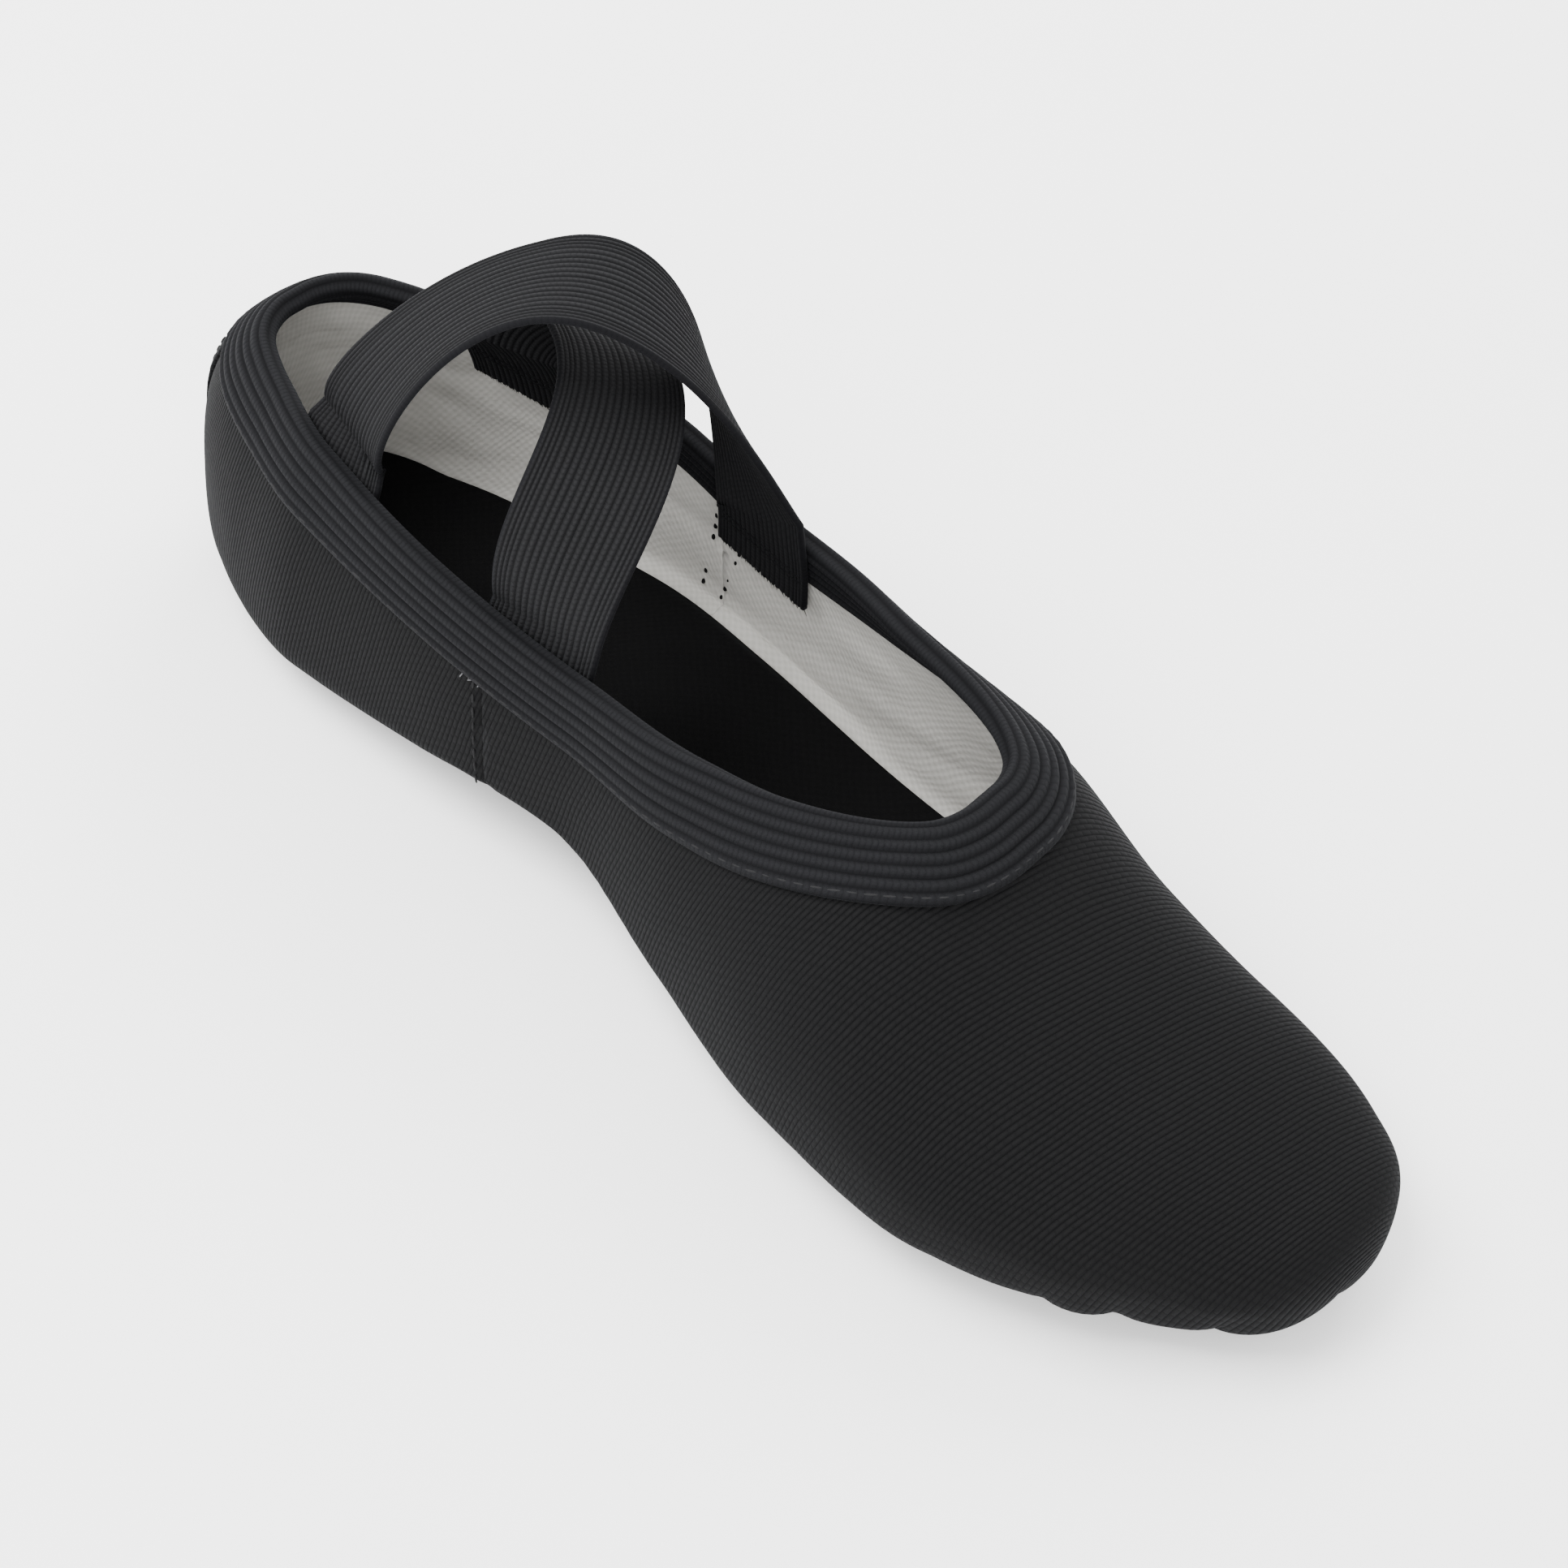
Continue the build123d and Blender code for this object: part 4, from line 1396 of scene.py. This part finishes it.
@dataclass
class Strap:
    """Elastic strap from the right topline over the instep to the left one."""

    name: str
    body: str
    walls: SlipperForm
    ends: tuple[float, float]
    right_rise: tuple
    top: tuple
    left_rise: tuple
    top_width: tuple
    nodes: tuple
    seed: float
    frames: list = field(init=False)

    def chord(self, x: float, drop: float, side: int) -> tuple[Array, Array]:
        """Middle and direction of the line across a strap laid on the inner wall.

        Args:
            x: Place along the length.
            drop: Depth below the topline.
            side: 1 for the left wall or -1 for the right.

        Returns:
            The middle and a unit direction.
        """
        xs = np.array([x - STRAP_WIDTH / 2, x + STRAP_WIDTH / 2])
        z = self.walls.read("topline", xs) - drop
        a, b = np.stack([xs, self.walls.wall_y(xs, z, side), z], 1)
        return (a + b) / 2, unit(b - a)

    def route(self, t: float) -> Array:
        """Point of the strap's middle line.

        Args:
            t: Share of the way over the foot.

        Returns:
            The point.
        """
        start = self.chord(self.ends[0], -TOPLINE_CLEAR, -1)[0]
        finish = self.chord(self.ends[1], -TOPLINE_CLEAR, 1)[0]
        line = [start, start + self.right_rise, np.array(self.top), finish + self.left_rise, finish]
        while len(line) > 1:
            line = [a + (b - a) * t for a, b in zip(line, line[1:])]
        return line[0]

    def span_frame(self, t: float) -> tuple[Array, Array, Array]:
        """Middle, width and thickness directions over the foot.

        Args:
            t: Share of the way over the foot.

        Returns:
            The middle and two unit directions.
        """
        ahead = unit(self.route(t + 0.001) - self.route(t - 0.001))
        near, far = max(0.0, 1 - 2.2 * t) ** 1.2, max(0.0, 2.2 * t - 1.2) ** 1.2
        width = (self.chord(self.ends[0], -TOPLINE_CLEAR, -1)[1] * near
                 + self.chord(self.ends[1], -TOPLINE_CLEAR, 1)[1] * far
                 + unit(np.array(self.top_width)) * (1 - near - far))
        width = unit(width - ahead * width.dot(ahead))
        return self.route(t), width, unit(np.cross(ahead, width))

    def tail_frame(self, end: int, drop: float) -> tuple[Array, Array, Array]:
        """The same, where a tail is sewn flat inside the wall.

        Args:
            end: 0 for the first end or 1 for the last.
            drop: Depth below the topline.

        Returns:
            The middle and two unit directions.
        """
        side = 1 if end else -1
        spot, width = self.chord(self.ends[end], drop, side)
        ahead = (self.chord(self.ends[end], drop - 1, side)[0] - spot) * (-1 if end else 1)
        ahead = unit(ahead - width * ahead.dot(width))
        return spot, width, unit(np.cross(ahead, width))

    def __post_init__(self) -> None:
        """Collects the frames from tail to tail."""
        drops = np.arange(STRAP_TAIL, 0.4, -0.8)
        first = [self.tail_frame(0, d) for d in drops]
        last = [self.tail_frame(1, d) for d in drops[::-1]]
        span = [self.span_frame(t) for t in np.linspace(0, 1, 130)]
        self.frames = first + span + last

    def profile(self) -> tuple[Array, Array, Array, Array]:
        """Offsets across and through the strap, its rib count and rib strength.

        Returns:
            The four, one value for each point of the section.
        """
        half, thick, fine = STRAP_WIDTH / 2, ELASTIC / 2, 3.0
        a = np.linspace(-half + 0.35, half - 0.35, 111)
        inside = np.clip(np.abs(a) - (half - fine), 0, None)
        phase = np.sign(a) * (np.minimum(np.abs(a), half - fine) / 1.16 + inside / 0.78)
        cap = np.linspace(-math.pi / 2, math.pi / 2, 7)[1:-1]
        side_a = half - 0.35 + 0.35 * np.cos(cap)
        side_b = thick * np.sin(cap)
        across = np.concatenate([a, side_a, a[::-1], -side_a])
        through = np.concatenate([np.full_like(a, -thick), side_b, np.full_like(a, thick), -side_b])
        rest = np.full_like(cap, phase[-1])
        mask = np.concatenate([np.ones_like(a), 0 * cap, np.ones_like(a), 0 * cap])
        return across, through, np.concatenate([phase, rest, phase[::-1], -rest]), mask

    def build(self) -> bpy.types.Object:
        """Makes the strap as one ribbon, frayed at its sewn ends.

        Returns:
            The finished object.
        """
        across, through, phase, mask = self.profile()
        spots = np.array([f[0] for f in self.frames])
        widths = np.array([f[1] for f in self.frames])
        thicks = np.array([f[2] for f in self.frames])
        run = np.concatenate([[0], np.cumsum(np.linalg.norm(np.diff(spots, axis=0), axis=1))])
        points = (spots[:, None] + widths[:, None] * across[None, :, None]
                  + thicks[:, None] * through[None, :, None])
        for end, inner in ((0, 1), (-1, -2)):
            out = unit(spots[end] - spots[inner])
            fray = 0.8 * np.abs(ripple(np.stack([across, 0 * across, 0 * across], 1), 0.7, self.seed + end))
            points[end] += out * fray[:, None]
        cap_first = (spots[0] + widths[0] * across[:, None] * 0.98)[None]
        cap_last = (spots[-1] + widths[-1] * across[:, None] * 0.98)[None]
        points = np.concatenate([cap_first, points, cap_last])
        run = np.concatenate([[run[0] - 0.5], run, [run[-1] + 0.5]])
        rows = len(points)
        v = np.concatenate([phase * 1.15, phase[:1] * 1.15])
        edge = ramp(np.abs(across), STRAP_WIDTH / 2 - 0.9, STRAP_WIDTH / 2 - 0.2)
        named = {"rib_phase": phase, "rib_mask": mask, "edge": edge}
        values = {key: np.tile(value, (rows, 1)).ravel() for key, value in named.items()}
        obj = GridMesh(self.name, points, run, v, False, True, values).build()
        run_tree(obj, rib_tree(), {"Height": 0.28 * MM, "Roundness": 0.55,
                                   "Material": material_of(STRAP_FINISH)})
        shade(obj)
        stand_for(obj, "elastic", *self.nodes)
        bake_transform(obj)
        return obj

    def inner_row(self, end: int, drop: float, half: float) -> tuple[Array, Array]:
        """Line and normals across a tail's inner face.

        Args:
            end: 0 for the first end or 1 for the last.
            drop: Depth below the topline.
            half: Half the length of the line.

        Returns:
            The points and their normals.
        """
        spot, width, thick = self.tail_frame(end, drop)
        inward = thick if thick[1] * (1 if end else -1) < 0 else -thick
        line = spot + width * np.linspace(-half, half, 12)[:, None] + inward * (ELASTIC / 2 + 0.1)
        return line, np.repeat(inward[None], 12, 0)


@dataclass
class ThreadRow:
    """A row of stitches laid by the stitch tree."""

    name: str
    lines: list[tuple[Array, Array, bool]]
    finish: Finish
    nodes: tuple = ()
    pitch: float = 3.0
    length: float = 2.2
    thickness: float = 0.45
    turn: float = 0.0
    wander: float = 0.06
    seed: int = 1

    def build(self, body: str | None) -> bpy.types.Object:
        """Makes the row.

        Args:
            body: The body it rides on, or None to leave it unattached.

        Returns:
            One mesh of all its stitches.
        """
        verts, edges, ups = [], [], []
        for line, up, closed in self.lines:
            base = len(verts)
            verts += to_frame(line).tolist()
            ups += up.tolist()
            edges += [(base + k, base + k + 1) for k in range(len(line) - 1)]
            if closed:
                edges.append((base + len(line) - 1, base))
        mesh = bpy.data.meshes.new(self.name)
        mesh.from_pydata(verts, edges, [])
        store(mesh, "up", np.array(ups))
        obj = bpy.data.objects.new(self.name, mesh)
        bpy.context.scene.collection.objects.link(obj)
        values = {"Pitch": self.pitch * MM, "Length": self.length * MM, "Thickness": self.thickness * MM,
                  "Turn": self.turn, "Wander": self.wander, "Seed": self.seed,
                  "Material": material_of(self.finish)}
        run_tree(obj, bpy.data.node_groups.get("Stitches") or stitch_tree(), values)
        shade(obj)
        stand_for(obj, "thread", *self.nodes)
        if body:
            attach(obj, body)
        else:
            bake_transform(obj)
        return obj


def wall_line(form: SlipperForm, ends: Sequence[tuple], side: int, lift: float,
              count: int = 40) -> tuple[Array, Array]:
    """Line over the side wall through (x, z) places.

    Args:
        form: The slipper's form.
        ends: Places to pass through.
        side: +1 left, -1 right.
        lift: Stand-off from the form.
        count: Number of points.

    Returns:
        The line and the form's outward normals along it.
    """
    flat = np.array([(x, 0.0, z) for x, z in ends])
    line = resample(flat, count, False)
    line[:, 1] = form.wall_y(line[:, 0], line[:, 2], side)
    normal = form.normals(line)
    return line + normal * lift, normal


@dataclass
class Stitching:
    """Every row of thread on the slipper."""

    form: SlipperForm
    binding: Binding
    tape: BackStrip
    sole: Sole
    straps: tuple[Strap, Strap]

    def seam_rows(self) -> list[bpy.types.Object]:
        """Rows at the two side seams.

        Returns:
            The rows of both seams, the zigzag and the rows inside.
        """
        right, left, lining = -1, 1, -(CANVAS + LAYER_GAP * 2 + LINING + 0.15)
        lean = (SEAM_TOP - SEAM_FOOT) / SEAM_TOP_HEIGHT
        ends = [(SEAM_FOOT + lean * z - SEAM_ROW, z) for z in SEAM_ROW_ENDS]
        near = wall_line(self.form, ends, right, 0.15)
        far = wall_line(self.form, ends, left, 0.15)
        zigzag = [(-39.5 + 0.85 * k, 33.9 + (1.4 if k % 2 else 0.0)) for k in range(15)]
        tack = wall_line(self.form, zigzag, right, 0.3, 90)
        loose = wall_line(self.form, [(-40.0, 35.0), (-34.0, 34.2), (-27.0, 34.9)], right, 0.35, 60)
        dots_rear = wall_line(self.form, [(-36.3, 36.6), (-38.3, 16.0)], left, lining)
        dots_front = wall_line(self.form, [(-29.0, 36.5), (-33.6, 16.0)], left, lining)
        dots = [(line, -normal, False) for line, normal in (dots_rear, dots_front)]
        return [
            ThreadRow("seam_row_right", [(*near, False)], DARK_THREAD, ("side_seam_stitching_right",),
                      pitch=2.6, length=2.0, thickness=0.38, seed=2).build("heel"),
            ThreadRow("seam_row_left", [(*far, False)], DARK_THREAD, ("side_seam_stitching_left",),
                      pitch=2.6, length=2.0, thickness=0.38, seed=3).build("heel"),
            ThreadRow("seam_zigzag", [(*tack, False), (*loose, False)], GREY_THREAD, (), pitch=0.8,
                      length=1.3, thickness=0.22, wander=0.35, seed=4).build("heel"),
            ThreadRow("seam_dots", dots, BLACK_THREAD, (), pitch=2.6, length=1.25, thickness=0.8,
                      seed=5).build("heel"),
        ]

    def build(self) -> list[bpy.types.Object]:
        """Makes every row.

        Returns:
            All rows of thread.
        """
        outer = LAYER_GAP + ELASTIC + 0.12
        up = unit(self.binding.at(BINDING_OUTSIDE - 1.1, 2.0) - self.binding.at(BINDING_OUTSIDE - 1.1, 1.0))
        made = [ThreadRow("binding_row", [(self.binding.at(BINDING_OUTSIDE - 1.1, outer), up, True)],
                          DARK_THREAD, ("binding_stitching",), pitch=2.7, length=2.1, thickness=0.34,
                          seed=6).build(None)]
        made += self.seam_rows()
        down = np.array([0.0, 0.0, -1.0])
        for name, place, shift, body in (("forefoot", FOREFOOT_PATCH, PATCH_SHIFT, "forefoot"),
                                         ("heel", HEEL_PATCH, 0.0, "heel")):
            line = self.sole.patch_row(place, shift)
            made.append(ThreadRow(name + "_patch_row", [(line, np.repeat(down[None], len(line), 0), True)],
                                  DARK_THREAD, (name + "_patch_stitching",), pitch=3.2, length=2.3,
                                  thickness=0.42, seed=7).build(body))
        rows = [(*self.tape.row(column), False) for column in (3, -4)]
        made.append(ThreadRow("back_rows", rows, DARK_THREAD, ("back_strip_stitching",), pitch=2.7,
                              length=2.0,
                              thickness=0.36, seed=8).build("heel"))
        tacks = [(*strap.inner_row(end, drop, 8.5), False)
                 for strap in self.straps for end in (0, 1) for drop in (5.5, 7.0)]
        made.append(ThreadRow("tack_rows", tacks, BLACK_THREAD, ("strap_tacks",), pitch=1.5, length=1.7,
                              thickness=0.4, wander=0.4, seed=9).build("heel"))
        frays = [(*strap.inner_row(end, STRAP_TAIL + 0.5, 10.0), False)
                 for strap in self.straps for end in (0, 1)]
        frays = [(line - up * (ELASTIC / 2 + 0.1), up, closed) for line, up, closed in frays]
        made.append(ThreadRow("tail_fray", frays, BLACK_THREAD, (), pitch=0.42, length=2.6, thickness=0.12,
                              turn=math.pi / 2, wander=0.7, seed=10).build("heel"))
        return made


_materials: dict[str, bpy.types.Material] = {}


def material_of(finish: Finish) -> bpy.types.Material:
    """The finish's material, made once."""
    if finish.name not in _materials:
        _materials[finish.name] = finish.build()
    return _materials[finish.name]


@dataclass
class Studio:
    """Pale floor, soft lights and camera."""

    target: Vector = field(default_factory=lambda: Vector((-0.01, 0.0, 0.03)))

    def floor(self) -> bpy.types.Object:
        """Makes the plain floor.

        Returns:
            The floor.
        """
        mesh = bpy.data.meshes.new("floor")
        size = 6.0
        corners = [(-size, -size, 0), (size, -size, 0), (size, size, 0), (-size, size, 0)]
        mesh.from_pydata(corners, [], [(0, 1, 2, 3)])
        obj = bpy.data.objects.new("floor", mesh)
        bpy.context.scene.collection.objects.link(obj)
        material = bpy.data.materials.new("Pale floor")
        material.use_nodes = True
        s = Shader(material.node_tree)
        bsdf = s.tree.nodes["Principled BSDF"]
        place = s.add("TexCoord").outputs["Object"]
        s.tree.links.new(s.mix(s.noise(place, 3.0), (0.93, 0.93, 0.93, 1), (0.95, 0.95, 0.95, 1)),
                         bsdf.inputs["Base Color"])
        bsdf.inputs["Roughness"].default_value = 0.9
        bsdf.inputs["Specular IOR Level"].default_value = 0.1
        mesh.materials.append(material)
        return obj

    def light(self, name: str, place: tuple, size: float, power: float) -> None:
        """Adds a soft square light that faces the slipper.

        Args:
            name: Light name.
            place: Position in metres.
            size: Side of the square in metres.
            power: Power in watts.
        """
        data = bpy.data.lights.new(name, "AREA")
        data.shape = "SQUARE"
        data.size = size
        data.energy = power
        obj = bpy.data.objects.new(name, data)
        obj.location = place
        obj.rotation_euler = (self.target - Vector(place)).to_track_quat("-Z", "Y").to_euler()
        bpy.context.scene.collection.objects.link(obj)

    def camera(self) -> bpy.types.Object:
        """Adds the camera at the catalogue view.

        Returns:
            The camera.
        """
        data = bpy.data.cameras.new("camera")
        data.lens = 66.96
        data.sensor_width = 36.0
        obj = bpy.data.objects.new("camera", data)
        obj.location = (0.16975, -0.25781, 0.36232)
        obj.rotation_euler = Euler(tuple(math.radians(a) for a in (41.999, -7.467, 40.247)), "XYZ")
        bpy.context.scene.collection.objects.link(obj)
        bpy.context.scene.camera = obj
        return obj

    def build(self) -> None:
        """Sets the whole stage."""
        self.camera()
        self.floor()
        self.light("key", (-0.50, -0.30, 0.85), 0.7, 26.0)
        self.light("front", (0.55, -0.75, 0.55), 0.9, 14.0)
        self.light("rim", (-0.25, 0.75, 0.55), 0.7, 12.0)
        world = bpy.data.worlds.new("studio")
        world.use_nodes = True
        world.node_tree.nodes["Background"].inputs["Color"].default_value = (1.0, 1.0, 1.0, 1.0)
        world.node_tree.nodes["Background"].inputs["Strength"].default_value = 1.9
        bpy.context.scene.world = world


def report(pieces: Sequence[bpy.types.Object]) -> None:
    """Logs each piece's name and size."""
    for obj in pieces:
        nodes = list(obj.get("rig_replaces", []))
        log.info("%s: %d faces, stands for %s", obj.name, len(obj.data.polygons), nodes)


def main() -> None:
    logging.basicConfig(level=logging.INFO, format="%(name)s %(message)s")
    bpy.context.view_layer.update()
    Studio().build()
    form = SlipperForm()
    walls = SlipperForm(CANVAS + 2 * LAYER_GAP + LINING + ELASTIC + TAIL_GAP + ELASTIC / 2)
    report(Upper(form).build())
    binding = Binding(form)
    tape = BackStrip(form)
    report([binding.build(), tape.build()])
    sole = Sole(form, SlipperForm(-SUEDE - 0.3), SlipperForm(PAD_DEPTH), SlipperForm(SOCK_DEPTH + INSOLE))
    report(sole.build())
    over = Strap("strap_over", "over_strap", walls, (-76.0, -24.0), (-1.0, -1.0, 10.0), (-42.0, 0.5, 131.0),
                 (-13.0, 0.0, 26.0), (0.45, -0.85, 0.0), ("over_strap", "over_strap_ends"), 1.0)
    under = Strap("strap_under", "under_strap", walls, (-29.5, -76.0), (-1.0, 0.0, 28.0), (-29.5, 26.0, 79.0),
                  (2.0, 0.0, 20.0), (0.7, 0.6, -0.3), ("under_strap", "under_strap_ends"), 2.0)
    report([over.build(), under.build()])
    report(Stitching(form, binding, tape, sole, (over, under)).build())


if __name__ == "__main__":
    main()
